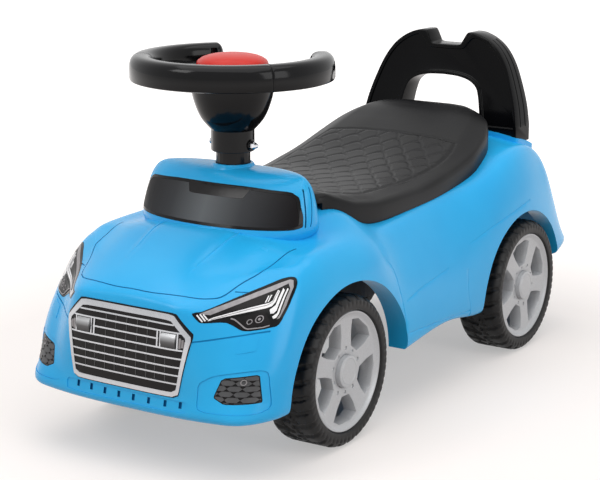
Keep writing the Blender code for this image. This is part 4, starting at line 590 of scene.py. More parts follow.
def shell_columns():
    columns = [[(x, NOSE_Y + back, z) for x, back, z in rings] for rings in NOSE_COLUMNS]
    for axle, behind, rings in FLANK_COLUMNS:
        columns.append([(HALF_WIDTH - inset, beside(axle, behind), z) for inset, z in rings])
    columns += [[(x, TAIL_Y - ahead, z) for x, ahead, z in rings] for rings in TAIL_COLUMNS]
    return columns


def top_point(columns, row, step):
    """A point of the top: step 0 is the shoulder and step CENTRE the car's centre line."""
    if row == CORNER_FRONT:
        return columns[CORNER_FRONT - step][-1]
    if row == CORNER_REAR:
        return columns[CORNER_REAR + step][-1]
    if step == 0:
        return columns[row][-1]
    axle, points = TOP_ROWS[row]
    x, behind, z = points[step - 1]
    return (x, beside(axle, behind), z)


def cage_quads():
    """The drawn quads of the left half and their mirror images."""
    columns = shell_columns()
    quads = []
    for here, after in zip(columns, columns[1:]):
        for ring in range(len(here) - 1):
            quads.append([here[ring], after[ring], after[ring + 1], here[ring + 1]])
    for row in range(CORNER_FRONT, CORNER_REAR):
        for step in range(CENTRE):
            quads.append([top_point(columns, row, step), top_point(columns, row + 1, step),
                          top_point(columns, row + 1, step + 1), top_point(columns, row, step + 1)])
    return quads + [[(-x, y, z) for x, y, z in quad[::-1]] for quad in quads]


print(len(cage_quads()), "drawn quads")

# %% The shell's smooth surface
SURFACE_LEVELS = 3
PULL_ROUNDS = 5
EASED_ABOVE_Z = 0.105
EASE_FACTOR = 0.5
EASE_ROUNDS = 14
BONNET_LOW_Z = 0.165
BONNET_RISE = 0.0024
BONNET_REAR_Y = -0.2155
BONNET_HALF = 0.0445
BONNET_TAPER = 0.10
BONNET_SIDE_RAMP = (-0.0014, 0.0020)
BONNET_REAR_RAMP = (0.0, 0.0034)
BONNET_FRONT_RAMP = (0.020, 0.085)
ROOF_NARROWING = 0.8
ROOF_SHORTENING = 0.6
ROOF_SHIFT = 0.002
MIDDLE_WITHIN = 1e-5


def bonnet_rise(x, y):
    """The bonnet's middle stands a little proud between two creases, and runs out towards the nose."""
    forward = BONNET_REAR_Y - y
    half = BONNET_HALF - forward * BONNET_TAPER
    sides = step_up(half - abs(x), *BONNET_SIDE_RAMP)
    rear = step_up(forward, *BONNET_REAR_RAMP)
    front = 1 - step_up(forward, *BONNET_FRONT_RAMP)
    return BONNET_RISE * sides * rear * front


def shell_surface():
    quads = cage_quads()
    points = [point for quad in quads for point in quad]
    faces = [list(range(4 * place, 4 * place + 4)) for place in range(len(quads))]
    surface = face_outwards(mesh_piece("shell_surface", points, faces))
    goals = [vertex.co.copy() for vertex in surface.data.vertices]
    preview = surface.modifiers.new("preview", "SUBSURF")
    preview.levels = 1
    preview.render_levels = 1
    for _ in range(PULL_ROUNDS):
        graph = bpy.context.evaluated_depsgraph_get()
        graph.update()
        reached = surface.evaluated_get(graph).to_mesh()
        for vertex, goal, now in zip(surface.data.vertices, goals, reached.vertices):
            vertex.co += goal - now.co
        surface.data.update()
    surface.modifiers.clear()
    subdivide(surface, SURFACE_LEVELS)
    upper = surface.vertex_groups.new(name="upper")
    eased = [vertex.index for vertex in surface.data.vertices if vertex.co.z > EASED_ABOVE_Z]
    upper.add(eased, 1.0, "REPLACE")
    ease = surface.modifiers.new("ease", "SMOOTH")
    ease.factor = EASE_FACTOR
    ease.iterations = EASE_ROUNDS
    ease.vertex_group = "upper"
    apply_modifiers(surface)
    for vertex in surface.data.vertices:
        if vertex.co.z > BONNET_LOW_Z:
            vertex.co.z += bonnet_rise(vertex.co.x, vertex.co.y)
    return surface


def cowl_hump(inset, roof_drop, sink):
    """The hump that carries the windscreen and the column, as a stack of rings."""
    rings = []
    roof = [(x * ROOF_NARROWING, gap * ROOF_SHORTENING + ROOF_SHIFT) for x, gap in COWL_RINGS[-1][1]]
    stack = COWL_RINGS + [(COWL_ROOF_Z, roof)]
    for place, (height, half) in enumerate(stack):
        level = height - (roof_drop if place >= len(stack) - 2 else 0) - (sink if place == 0 else 0)
        sides = []
        for index, (x, behind) in enumerate(half):
            forward = 1 if index < COWL_FRONT_POINTS else -1
            sides.append((max(x - inset, 0), FRONT_AXLE_Y + behind + forward * inset, level))
        rings.append(sides + [(-x, y, z) for x, y, z in sides[-2:0:-1]])
    return subdivide(subdivide(lofted("cowl_hump", rings), 1), 1)


def closed_below(surface, name, inset, drop):
    """A copy of the surface drawn in by a wall and closed straight across its open underside."""
    piece = bpy.data.objects.new(name, surface.data.copy())
    bpy.context.scene.collection.objects.link(piece)
    work = bmesh.new()
    work.from_mesh(piece.data)
    work.normal_update()
    for vertex, move in [(vertex, vertex.normal * inset) for vertex in work.verts]:
        on_middle = abs(vertex.co.x) < MIDDLE_WITHIN
        vertex.co -= move
        if on_middle:
            vertex.co.x = 0
    rim = [edge for edge in work.edges if edge.is_boundary]
    corners = list({vertex for edge in rim for vertex in edge.verts})
    for vertex in corners:
        vertex.co.z -= drop
    other = {}
    for vertex in corners:
        image = Vector((-vertex.co.x, vertex.co.y, vertex.co.z))
        other[vertex] = min(corners, key=lambda corner: (corner.co - image).length_squared)
    for edge in rim:
        here, after = edge.verts
        if here.co.x + after.co.x > 0:
            face = [here, after, other[after], other[here]]
            work.faces.new([vertex for place, vertex in enumerate(face) if vertex not in face[:place]])
    bmesh.ops.recalc_face_normals(work, faces=work.faces)
    bmesh.ops.triangulate(work, faces=work.faces, quad_method="SHORT_EDGE")
    work.to_mesh(piece.data)
    work.free()
    return piece


def shell_solid(surface, name, inset, drop):
    body = closed_below(surface, name, inset, drop)
    return combine(body, [cowl_hump(inset, inset, drop / 2)], "UNION")


def look_up(piece):
    """The piece's surface as it can be struck by rays."""
    work = bmesh.new()
    work.from_mesh(piece.data)
    tree = BVHTree.FromBMesh(work)
    work.free()
    return tree


surface = shell_surface()
shell = shell_solid(surface, "shell", 0.0, 0.0)
skin_tree = look_up(shell)
print("shell skin:", len(surface.data.polygons), "quads")

# %% [markdown]
# The shell is hollowed to its wall, and the wheel arches are cut as half ellipses that stand on their
# straight legs, with an inner skirt left round each wheel. The tall collars take the backrest's legs.
# Cutters are ordinary prisms and cylinders, because a mould core is one too.

# %% Cutters
WHEEL_ARCHES = [(FRONT_AXLE_Y, 0.1026), (REAR_AXLE_Y - 0.012, 0.0975)]
ARCH_SPRING_Z = 0.066
ARCH_RISE = 0.0925
ARCH_INNER_X = 0.1157
ARCH_RETURN_X = 0.117
ARCH_STEPS = 48
ARCH_CUT_Z = -0.01
ARCH_HOLLOW_CUT_Z = -0.02
CUT_PAST_FLANK = 0.02
HOLLOW_DROP = 0.02
BACKREST_Y = 0.2398
BACKREST_DEPTH = 0.034
LEG_INNER_X = 0.054
LEG_OUTER_X = 0.099
LEG_CORNER = 0.0008
COLUMN_PLACE = (0.0, -0.1627, 0.0)
COLUMN_RADIUS = 0.0164
HINGE_PLACE = (0.0, -0.1272, 0.2220)
HINGE_EYE = 0.0032
HINGE_EYE_STEPS = 12
HINGE_ROOT = 0.012
PIN_WAY_RADIUS = 0.0018
PIN_WAY_REACH = 0.041
PIN_WAY_STEPS = 16
BIN_HALF_WIDTH = 0.064
BIN_Y = (-0.030, 0.130)
BIN_CORNER = 0.012


def prism(name, outline, low, high, axis="z"):
    """A flat outline extruded along an axis from low to high."""
    lift = {"x": lambda a, b: (low, a, b), "y": lambda a, b: (a, low, b), "z": lambda a, b: (a, b, low)}[axis]
    depth = {"x": (high - low, 0, 0), "y": (0, high - low, 0), "z": (0, 0, high - low)}[axis]
    return extruded(name, [lift(a, b) for a, b in outline], depth)


def rod(name, radius, low, high, centre, axis="z", steps=32):
    return spun(name, [(0, high), (radius, high), (radius, low), (0, low)], centre, axis, steps)


def rounded_rectangle(half_x, low_y, high_y, radius, steps=6):
    outline = []
    for centre_x, centre_y, start in (
        (half_x - radius, high_y - radius, 0), (-half_x + radius, high_y - radius, 90),
        (-half_x + radius, low_y + radius, 180), (half_x - radius, low_y + radius, 270),
    ):
        for step in range(steps + 1):
            angle = math.radians(start + 90 * step / steps)
            outline.append((centre_x + radius * math.cos(angle), centre_y + radius * math.sin(angle)))
    return outline


def arch_line(half_width, rise, below):
    """A half ellipse over the spring line, carried straight down."""
    outline = [(-half_width, below)]
    for step in range(ARCH_STEPS + 1):
        angle = math.pi - math.pi * step / ARCH_STEPS
        outline.append((half_width * math.cos(angle), ARCH_SPRING_Z + rise * math.sin(angle)))
    return outline + [(half_width, below)]


def arch_prisms(grow, inner_x, below):
    made = []
    for side in (1, -1):
        for centre_y, half_width in WHEEL_ARCHES:
            outline = [(centre_y + y, z) for y, z in arch_line(half_width + grow, ARCH_RISE + grow, below)]
            reach = span(side, inner_x, HALF_WIDTH + CUT_PAST_FLANK)
            made.append(prism("arch_cutter", outline, *reach, "x"))
    return made


def leg_outline(side, grow):
    """One backrest leg's footprint, seen from above."""
    half = (LEG_OUTER_X - LEG_INNER_X) / 2 + grow
    middle = side * (LEG_OUTER_X + LEG_INNER_X) / 2
    corner = max(grow, LEG_CORNER)
    around = rounded_rectangle(half, BACKREST_Y - grow, BACKREST_Y + BACKREST_DEPTH + grow, corner, 4)
    return [(x + middle, y) for x, y in around]


def bin_outline(grow):
    return rounded_rectangle(BIN_HALF_WIDTH + grow, BIN_Y[0] - grow, BIN_Y[1] + grow, BIN_CORNER + grow)


def eye_outline(root, up):
    """A hinge ear seen from the side: half a round eye and its stem."""
    y, z = HINGE_PLACE[1:]
    outline = [(y - HINGE_EYE, root), (y + HINGE_EYE, root)]
    for step in range(HINGE_EYE_STEPS + 1):
        angle = math.pi * step / HINGE_EYE_STEPS
        outline.append((y + HINGE_EYE * math.cos(angle), z + up * HINGE_EYE * math.sin(angle)))
    return outline


def pin_way():
    """The round way for the hinge's pin, cut in the shell's lugs and again in the seat's ears."""
    return rod("pin_way", PIN_WAY_RADIUS, -PIN_WAY_REACH, PIN_WAY_REACH, HINGE_PLACE, "x", PIN_WAY_STEPS)


# %% Hollow, arches and leg collars
COLLAR_WALL = 0.0035
COLLAR_Z = (0.190, 0.2375)
COLLAR_REACH = 0.005

hollow = shell_solid(surface, "shell_hollow", SHELL_WALL, HOLLOW_DROP)
combine(shell, arch_prisms(0.0, ARCH_INNER_X, ARCH_CUT_Z), "DIFFERENCE")
combine(hollow, arch_prisms(SHELL_WALL, ARCH_RETURN_X, ARCH_HOLLOW_CUT_Z), "DIFFERENCE")
combine(shell, [hollow], "DIFFERENCE")
for side in (1, -1):
    collar = prism("collar", leg_outline(side, COLLAR_WALL), *COLLAR_Z)
    limit = shell_solid(surface, "collar_limit", -COLLAR_REACH, 0.0)
    combine(collar, [limit], "INTERSECT")
    combine(shell, [collar], "UNION")
print("shell faces:", len(shell.data.polygons))

# %% Openings for the column, the bin, the backrest and the hinge
HINGE_LUG_X = 0.025
HINGE_LUG_THICKNESS = 0.004
COLUMN_COLLAR_FOOT_Z = 0.2505
COLUMN_COLLAR_TOP_Z = 0.2565
COLUMN_CLEARANCE = 0.0006
BIN_CLEARANCE = 0.0008
POCKET_CLEARANCE = 0.0003
POCKET_FLOOR_Z = 0.2217
CUT_FROM_Z = 0.150
BIN_CUT_TO_Z = 0.240
CUT_TO_Z = 0.270

lugs = []
for side in (1, -1):
    reach = span(side, HINGE_LUG_X, HINGE_LUG_X + HINGE_LUG_THICKNESS)
    lugs.append(prism("lug", eye_outline(HINGE_PLACE[2] - HINGE_ROOT, 1), *reach, "x"))
collar = spun("column_collar", [
    (COLUMN_RADIUS + 0.0024, COLUMN_COLLAR_TOP_Z), (COLUMN_RADIUS + 0.003, COLUMN_COLLAR_TOP_Z - 0.0006),
    (COLUMN_RADIUS + 0.006, COLUMN_COLLAR_FOOT_Z), (COLUMN_RADIUS - 0.002, COLUMN_COLLAR_FOOT_Z),
    (COLUMN_RADIUS - 0.002, COLUMN_COLLAR_TOP_Z),
], COLUMN_PLACE, "z", 64)
combine(shell, lugs + [collar], "UNION")
openings = [rod("column_hole", COLUMN_RADIUS + COLUMN_CLEARANCE, CUT_FROM_Z, CUT_TO_Z, COLUMN_PLACE, "z", 64),
            prism("bin_mouth", bin_outline(BIN_CLEARANCE), CUT_FROM_Z, BIN_CUT_TO_Z)]
openings += [prism("pocket", leg_outline(side, POCKET_CLEARANCE), POCKET_FLOOR_Z, CUT_TO_Z)
             for side in (1, -1)]
combine(shell, [join(openings)], "DIFFERENCE")
combine(shell, [pin_way()], "DIFFERENCE")

# %% [markdown]
# The grille, the lamps and the windscreen are thin plates let into the shell. Each is drawn as a flat
# outline seen from the front, cut into small cells, and laid on the skin by a ray shot straight back.
# A plate can stand proud of the skin or lie under it, and a swelling can be added to it.

# %% Plates that lie on the skin
CELL = 0.003
LEAST_MITRE = 0.4
RAY_START_Y = -1.0
STRAIGHT_BACK = Vector((0, 1, 0))


def on_skin(x, z):
    """Where a ray shot back from the front meets the skin, and the skin's direction there."""
    place, normal = skin_tree.ray_cast(Vector((x, RAY_START_Y, z)), STRAIGHT_BACK)[:2]
    if place is None:
        place, normal = skin_tree.find_nearest(Vector((x, NOSE_Y, z)))[:2]
    return place, normal


def plate(name, loops, proud, depth, cell=CELL, swell=None):
    """A plate from flat (x, z) outlines, holes among them, laid on the skin and given its thickness."""
    work = bmesh.new()
    rims = []
    for loop in loops:
        corners = [work.verts.new((x, 0, z)) for x, z in loop]
        for place, corner in enumerate(corners):
            rims.append(work.edges.new((corner, corners[(place + 1) % len(corners)])))
    bmesh.ops.triangle_fill(work, use_beauty=True, edges=rims)
    for axis in (0, 2):
        values = [vertex.co[axis] for vertex in work.verts]
        direction = Vector((1, 0, 0)) if axis == 0 else Vector((0, 0, 1))
        for step in range(math.ceil(min(values) / cell), math.floor(max(values) / cell) + 1):
            everything = work.verts[:] + work.edges[:] + work.faces[:]
            bmesh.ops.bisect_plane(work, geom=everything, dist=1e-6, plane_co=direction * step * cell,
                                   plane_no=direction)
    tops = work.verts[:]
    sheet = work.faces[:]
    rim = [edge for edge in work.edges if edge.is_boundary]
    below = {vertex: work.verts.new(vertex.co) for vertex in tops}
    for face in sheet:
        work.faces.new([below[vertex] for vertex in reversed(face.verts)])
    for edge in rim:
        here, after = edge.verts
        work.faces.new((here, after, below[after], below[here]))
    for vertex in tops:
        place, normal = on_skin(vertex.co.x, vertex.co.z)
        extra = swell(vertex.co.x, vertex.co.z) if swell else 0.0
        vertex.co = place + normal * (proud + extra)
        below[vertex].co = place + normal * (proud - depth)
    bmesh.ops.recalc_face_normals(work, faces=work.faces)
    piece = mesh_piece(name, [])
    work.to_mesh(piece.data)
    work.free()
    return piece


def mm(points):
    """Points written in millimetres, in metres."""
    return [tuple(value / 1000 for value in point) for point in points]


def strip(left, right, low, high):
    """An upright rectangle seen from the front, between two x and two z."""
    return [(left, low), (right, low), (right, high), (left, high)]


def both_sides(half):
    """An outline drawn for the left half, from the top middle down to the foot, and its mirror image."""
    return half + [(-x, z) for x, z in half[::-1]]


def softened(outline, share=0.22, rounds=2):
    """The outline with its corners cut off by a share of each side."""
    for _ in range(rounds):
        cut = []
        for place, here in enumerate(outline):
            after = outline[(place + 1) % len(outline)]
            for t in (share, 1 - share):
                cut.append(tuple(a + (b - a) * t for a, b in zip(here, after)))
        outline = cut
    return outline


def grown(outline, distance):
    """A flat outline moved outwards by a distance, or inwards when negative."""
    count = len(outline)
    area = sum(outline[i][0] * outline[(i + 1) % count][1] - outline[(i + 1) % count][0] * outline[i][1]
               for i in range(count))
    turn = 1 if area > 0 else -1
    moved = []
    for index in range(count):
        here = Vector(outline[index])
        way_in = (here - Vector(outline[index - 1])).normalized()
        way_out = (Vector(outline[(index + 1) % count]) - here).normalized()
        normal_in = Vector((way_in.y, -way_in.x)) * turn
        normal_out = Vector((way_out.y, -way_out.x)) * turn
        bisector = (normal_in + normal_out).normalized()
        moved.append(tuple(here + bisector * (distance / max(bisector.dot(normal_in), LEAST_MITRE))))
    return moved


def band(points, width):
    """The outline of a strip of one width along a line of (x, z) points."""
    line = [Vector(point) for point in points]
    sides = []
    for place, here in enumerate(line):
        before = line[max(place - 1, 0)]
        after = line[min(place + 1, len(line) - 1)]
        way = (after - before).normalized()
        sides.append((here, Vector((-way.y, way.x)) * width / 2))
    return [tuple(here + out) for here, out in sides] + [tuple(here - out) for here, out in sides[::-1]]


# %% Outlines of the plates, measured from the photograph
GRILLE_OUTLINE = softened(both_sides(mm([(53.3, 153.5), (70.8, 136.0), (58.6, 78.5)])), 0.04, 2)
FRAME_OUTER = softened(both_sides(mm([(51.5, 152.3), (69.4, 133.4), (58.8, 79.3)])), 0.05, 2)
FRAME_INNER = softened(both_sides(mm([(49.2, 147.2), (64.9, 132.3), (57.0, 86.0), (52.0, 83.4)])), 0.05, 2)
HEADLIGHT_OUTLINE = softened(mm([
    (66.1, 153.9), (68.4, 154.9), (72.9, 155.1), (94.8, 167.1), (105.4, 172.5), (113.7, 177.1),
    (119.2, 178.4), (123.0, 177.6), (125.6, 174.4), (127.2, 168.7), (127.9, 156.5), (126.7, 143.3),
    (124.9, 141.1), (121.3, 140.6), (117.4, 139.5), (106.1, 137.9), (101.3, 138.5), (95.4, 142.1),
    (88.9, 145.8), (74.9, 145.9), (72.3, 147.2),
]), 0.2, 1)
VENT_POCKET = softened(mm([
    (77.2, 93.9), (88.0, 100.8), (112.0, 105.3), (124.5, 106.6), (129.3, 103.9), (133.0, 76.3),
    (132.0, 72.8), (127.7, 70.1), (86.0, 69.9), (77.7, 72.2),
]), 0.15, 2)
VENT_OPENING = softened(mm([
    (95.7, 99.3), (121.9, 103.1), (124.4, 102.1), (128.4, 80.6), (128.1, 79.0), (101.4, 78.1),
    (92.1, 82.3), (91.4, 84.0),
]), 0.1, 1)
SCREEN_OUTLINE = softened(both_sides(mm([(40.0, 242.0), (79.0, 239.5), (86.5, 234.5), (91.5, 218.0),
                                         (92.5, 208.0), (86.0, 206.0)])), 0.12, 2)
print("outlines:", len(HEADLIGHT_OUTLINE), "points round a lamp")

# %% [markdown]
# Each plate needs a shallow recess in the shell. The short slots low in the nose are cut deeper, and
# a darker blue is painted on them as painted shade, because little light gets into them.

# %% Recesses, slots and pads of the nose
RECESS_DEPTH = 0.0014
RECESS_CLEARANCE = 0.0002
CLEAR_OF_SKIN = 0.004
INTAKE = softened(both_sides(mm([(66.0, 76.4), (68.5, 73.8), (67.0, 66.0)])), 0.1, 1)
INTAKE_DEPTH = 0.0007
INTAKE_SLOTS = mm([(-54, 76), (-38, 75.6), (-22, 74.9), (-6, 74.5), (10.6, 74.5), (27.8, 74.6), (45.7, 75.0),
                   (61.5, 75.6)])
SLOT_HALF = 0.0016
SLOT_DROP = 0.0056
SLOT_DEPTH = 0.0024
NOSE_PAD = softened(mm([(102.8, 131.1), (116.4, 134.0), (117.2, 122.4), (103.2, 119.4)]), 0.06, 1)


def pressed(outline, depth):
    """A cutter that starts clear of the skin and sinks in by the depth."""
    return plate("cutter", [outline], CLEAR_OF_SKIN, CLEAR_OF_SKIN + depth)


recesses = [pressed(grown(outline, RECESS_CLEARANCE), RECESS_DEPTH)
            for outline in (GRILLE_OUTLINE, SCREEN_OUTLINE)]
for outline in (HEADLIGHT_OUTLINE, VENT_POCKET):
    left = pressed(grown(outline, RECESS_CLEARANCE), RECESS_DEPTH)
    recesses += [left, mirror_copy(left, "recess_right")]
combine(shell, [join(recesses)], "DIFFERENCE")
combine(shell, [pressed(INTAKE, INTAKE_DEPTH)], "DIFFERENCE")
slots = [pressed(strip(x - SLOT_HALF, x + SLOT_HALF, z - SLOT_DROP, z), SLOT_DEPTH) for x, z in INTAKE_SLOTS]
pad_left = plate("nose_pad", [NOSE_PAD], proud=0.0004, depth=0.0016)
pad_right = mirror_copy(pad_left, "nose_pad_right")
combine(shell, [join([pad_left, pad_right])], "UNION")
print("shell faces:", len(shell.data.polygons))

# %% [markdown]
# The bonnet's two creases, and the one across its rear, are low ridges. The lines that part the bonnet,
# the nose and the cowl are pressed in as thin round grooves that follow the skin, and their walls are
# painted a darker blue as painted shade. The creases of the flank are wide and very shallow grooves, so
# that they catch light without reading as a gap.

# %% Creases and shut lines
CREASE_RADIUS = 0.0016
# Each crease: how proud it stands at its start and at its end, and its line
CREASES = [
    (0.0013, 0.0002, mm([(44, -215.5, 202.6), (42.5, -232, 198.5), (40.2, -256, 191), (37.5, -284, 180)])),
    (0.0012, 0.0007, mm([(44, -215.5, 202.6), (25, -218.2, 203), (-0.01, -219.9, 203)])),
]
# Each shut line: its radius, its depth and its line
SHUT_LINES = [
    (0.0007, 0.0009, mm([(0, -317.4, 165.6), (23.8, -317.1, 165.8), (60, -309.6, 165), (73.9, -300.4, 164.1),
                         (80.3, -291.3, 165.7), (86.3, -273.7, 173.5), (94.6, -256.1, 180.9),
                         (97.8, -239, 186.3)])),
    (0.0008, 0.0012, mm([(97.8, -239, 186.3), (98.2, -231.1, 188.5), (99, -218, 190.5), (100, -206, 192)])),
    (0.0006, 0.0007, mm([(85.9, -282.4, 168.1), (95.5, -275.4, 167.4)])),
    (0.0009, 0.0006, mm([(69.2, -327, 129.8), (82.3, -315.6, 131.4), (95, -303.4, 133.1),
                         (108.9, -292.8, 135.5), (122.5, -280.9, 137.5)])),
    (0.0007, 0.0008, mm([(87, -174.6, 242), (93.2, -179.1, 219.1), (97.0, -182.6, 207.6)])),
    (0.0007, 0.0008, mm([(89.7, -168.6, 243.2), (95.4, -172.3, 218.1), (99.4, -176.2, 207.6)])),
    (0.0050, 0.0005, mm([(123.3, -106.8, 182.9), (130.5, -102.1, 169.2), (131.7, -84.8, 152.9),
                         (136.7, -77.4, 126.1), (139.1, -68.7, 86)])),
    (0.0040, 0.0006, mm([(139.3, -63.3, 84.7), (138.7, -1.2, 81.8), (138.7, 63.4, 78)])),
    (0.0050, 0.0005, mm([(137.5, -66.9, 116.7), (135.6, -37.9, 122), (134, -4.8, 125.7),
                         (133.4, 25.4, 129.4)])),
    (0.0050, 0.0005, mm([(136.4, 61.3, 122.1), (139.1, 57.3, 98.8), (135.4, 65.5, 72)])),
    (0.0050, 0.0005, mm([(132.4, 72, 144.9), (136.9, 130.7, 158.6), (136.4, 202.9, 169.3)])),
]
# Grooves thinner than this get painted shade, a darker blue, on their walls; wider ones keep the body's blue.
PAINTED_SHADE_BELOW_RADIUS = 0.001
MARKS_PER_STEP = 8


def bar_on_skin(name, line, radius, first, last):
    """A round bar along the skin; its middle stands off the skin by first at its start, last at its end."""
    marks = flowing(line, MARKS_PER_STEP)
    path = []
    for index, mark in enumerate(marks):
        place, normal = skin_tree.find_nearest(mark)[:2]
        share = index / (len(marks) - 1)
        path.append(place + normal * (first + (last - first) * share))
    return tube(name, path, radius)


shell.data.materials.append(sky_blue)
for proud_first, proud_last, line in CREASES:
    left = bar_on_skin("crease", line, CREASE_RADIUS, proud_first - CREASE_RADIUS, proud_last - CREASE_RADIUS)
    right = mirror_copy(left, "crease_right")
    for ridge in (left, right):
        ridge.data.materials.append(sky_blue)
        combine(shell, [ridge], "UNION", "TRANSFER")
# The thin grooves' walls take the painted shade blue.
for radius, depth, line in SHUT_LINES:
    left = bar_on_skin("groove", line, radius, radius - depth, radius - depth)
    both = join([left, mirror_copy(left, "groove_right")])
    both.data.materials.append(groove_painted_shade_blue if radius < PAINTED_SHADE_BELOW_RADIUS else sky_blue)
    combine(shell, [both], "DIFFERENCE", "TRANSFER")
# The slots' walls take painted shade, a deeper blue.
slot_cutter = join(slots)
slot_cutter.data.materials.append(slot_painted_shade_blue)
combine(shell, [slot_cutter], "DIFFERENCE", "TRANSFER")
print("shell faces after the lines:", len(shell.data.polygons))
finish_piece(shell, None, "body", ["body_shell"])
shell.name = "car_shell"

# %% [markdown]
# The windscreen is printed in tones that run into each other. The grille's small covers carry painted
# light: painted shade at their foot and a painted highlight near their top, as light falls on a barrel.
# The finish of both is a ramp of colours along one axis of the car.

# %% Ramps of print and of painted light
def ramp_of_print_and_painted_light(material, shader, axis, reach, stops, mirrored=False):
    """Colours between two places on an axis of the car, in metres; mirrored reads both sides alike."""
    place = add_node(material, "ShaderNodeTexCoord", {}, {}).outputs["Object"]
    apart = add_node(material, "ShaderNodeSeparateXYZ", {}, {"Vector": place})
    value = apart.outputs[axis]
    if mirrored:
        across = add_node(material, "ShaderNodeMath", {"operation": "ABSOLUTE"}, {})
        material.node_tree.links.new(value, across.inputs[0])
        value = across.outputs["Value"]
    share = add_node(material, "ShaderNodeMapRange", {"From Min": reach[0], "From Max": reach[1]},
                     {"Value": value})
    ramp = add_node(material, "ShaderNodeValToRGB", {}, {"Fac": share.outputs["Result"]})
    for stop, (_, code) in zip(ramp.color_ramp.elements, (stops[0], stops[-1])):
        stop.color = colour(code)
    for position, code in stops[1:-1]:
        ramp.color_ramp.elements.new(position).color = colour(code)
    material.node_tree.links.new(ramp.outputs["Color"], shader.inputs["Base Color"])
    return place


# %% [markdown]
# The grille is one black insert with a bright frame and eight bright bars, faint upright ribs behind
# them, and two small barrel-shaped covers. All the bars come from one plate with several outlines.

# %% Grille
BAR_HALF = 0.0007
BARS = mm([(53.0, 143.4), (61.5, 136.9), (37.0, 129.4), (62.6, 121.8), (63.4, 114.2), (62.3, 106.3),
           (61.0, 99.0), (59.0, 91.4)])
POST_REACHES = [(0.0350, 0.0366), (0.0384, 0.0398), (0.0564, 0.0578)]
POST_Z = (0.1220, 0.1365)
RIB_X = [-0.0450, -0.0340, -0.0225, -0.0113, 0.0010, 0.0130, 0.0245, 0.0340, 0.0450]
RIB_HALF = 0.0004
RIB_GAP = 0.0012
INNER_RIBS_X = 0.034
OUTER_RIBS_TOP_Z = 0.1216
COVER_X = (0.0405, 0.0555)
COVER_Z = (0.1225, 0.1355)
COVER_SWELL = 0.0022
SIDE_STEPS = 3
STEP_X = (0.0585, 0.0605)
STEP_Z = (0.1235, 0.1325)
STEP_PITCH = 0.0025
STEP_RISE = 0.0008
STEP_FALL = 0.0012


def trim(pieces, name, material, replaced=(), angle_deg=40.0):
    """Plates joined in one named piece with one finish."""
    made = join(pieces)
    made.name = name
    finish_piece(made, material, "body", replaced, angle_deg)


def barrel_swell(_, z):
    """How far a cover swells out at a height, as a barrel does."""
    share = (z - COVER_Z[0]) / (COVER_Z[1] - COVER_Z[0])
    return COVER_SWELL * math.sin(math.pi * min(max(share, 0.0), 1.0))


trim([plate("base", [GRILLE_OUTLINE], proud=0.0002, depth=0.0015)], "grille_base", foil_black,
     ["grille_insert"])
frame_piece = plate("frame", [FRAME_OUTER, FRAME_INNER], proud=0.0012, depth=0.0012)
bars = plate("bars", [strip(-half, half, z - BAR_HALF, z + BAR_HALF) for half, z in BARS],
             proud=0.0010, depth=0.0010)
posts = plate("posts", [strip(*span(side, *reach), *POST_Z) for side in (1, -1) for reach in POST_REACHES],
              proud=0.0010, depth=0.0010)
trim([frame_piece, bars, posts], "grille_bright_frame_and_bars", foil_chrome)
ribs = []
for x in RIB_X:
    for (_, high), (_, low) in zip(BARS, BARS[1:]):
        if abs(x) < INNER_RIBS_X or high < OUTER_RIBS_TOP_Z:
            ribs.append(strip(x - RIB_HALF, x + RIB_HALF, low + RIB_GAP, high - RIB_GAP))
trim([plate("ribs", ribs, proud=0.0006, depth=0.0006)], "grille_ribs", vent_black)
covers = [plate("cover", [strip(*span(side, *COVER_X), *COVER_Z)], proud=0.0008, depth=0.0008, cell=0.001,
                swell=barrel_swell) for side in (1, -1)]
# The covers' ramp is painted light: painted shade low down and a painted highlight near the top.
cover_painted_light_foil, shader = new_finish("smoked_printed_foil", "#6E6E70", 0.28, {"Metallic": 0.3})
ramp_of_print_and_painted_light(cover_painted_light_foil, shader, "Z", COVER_Z, ((0.0, "#202022"), (0.45, "#5A5A5C"), (0.8, "#B9BABC"),
                                               (1.0, "#98999B")))
trim(covers, "grille_covers", cover_painted_light_foil)
steps = []
for side in (1, -1):
    for place in range(SIDE_STEPS):
        near, far = [x + STEP_PITCH * place for x in STEP_X]
        steps.append(strip(*span(side, near, far), STEP_Z[0] + STEP_RISE * place,
                           STEP_Z[1] - STEP_FALL * place))
trim([plate("steps", steps, proud=0.0009, depth=0.0009)], "grille_side_plates", foil_grey)
print("grille pieces:", [piece.name for piece in made_pieces[1:]])

# %% [markdown]
# Each lamp is a printed foil behind a clear edge: a black field, a grey band along the top, white light
# strips bent round the corner, slanted strips at the inner end, and a dark pod with two lenses.

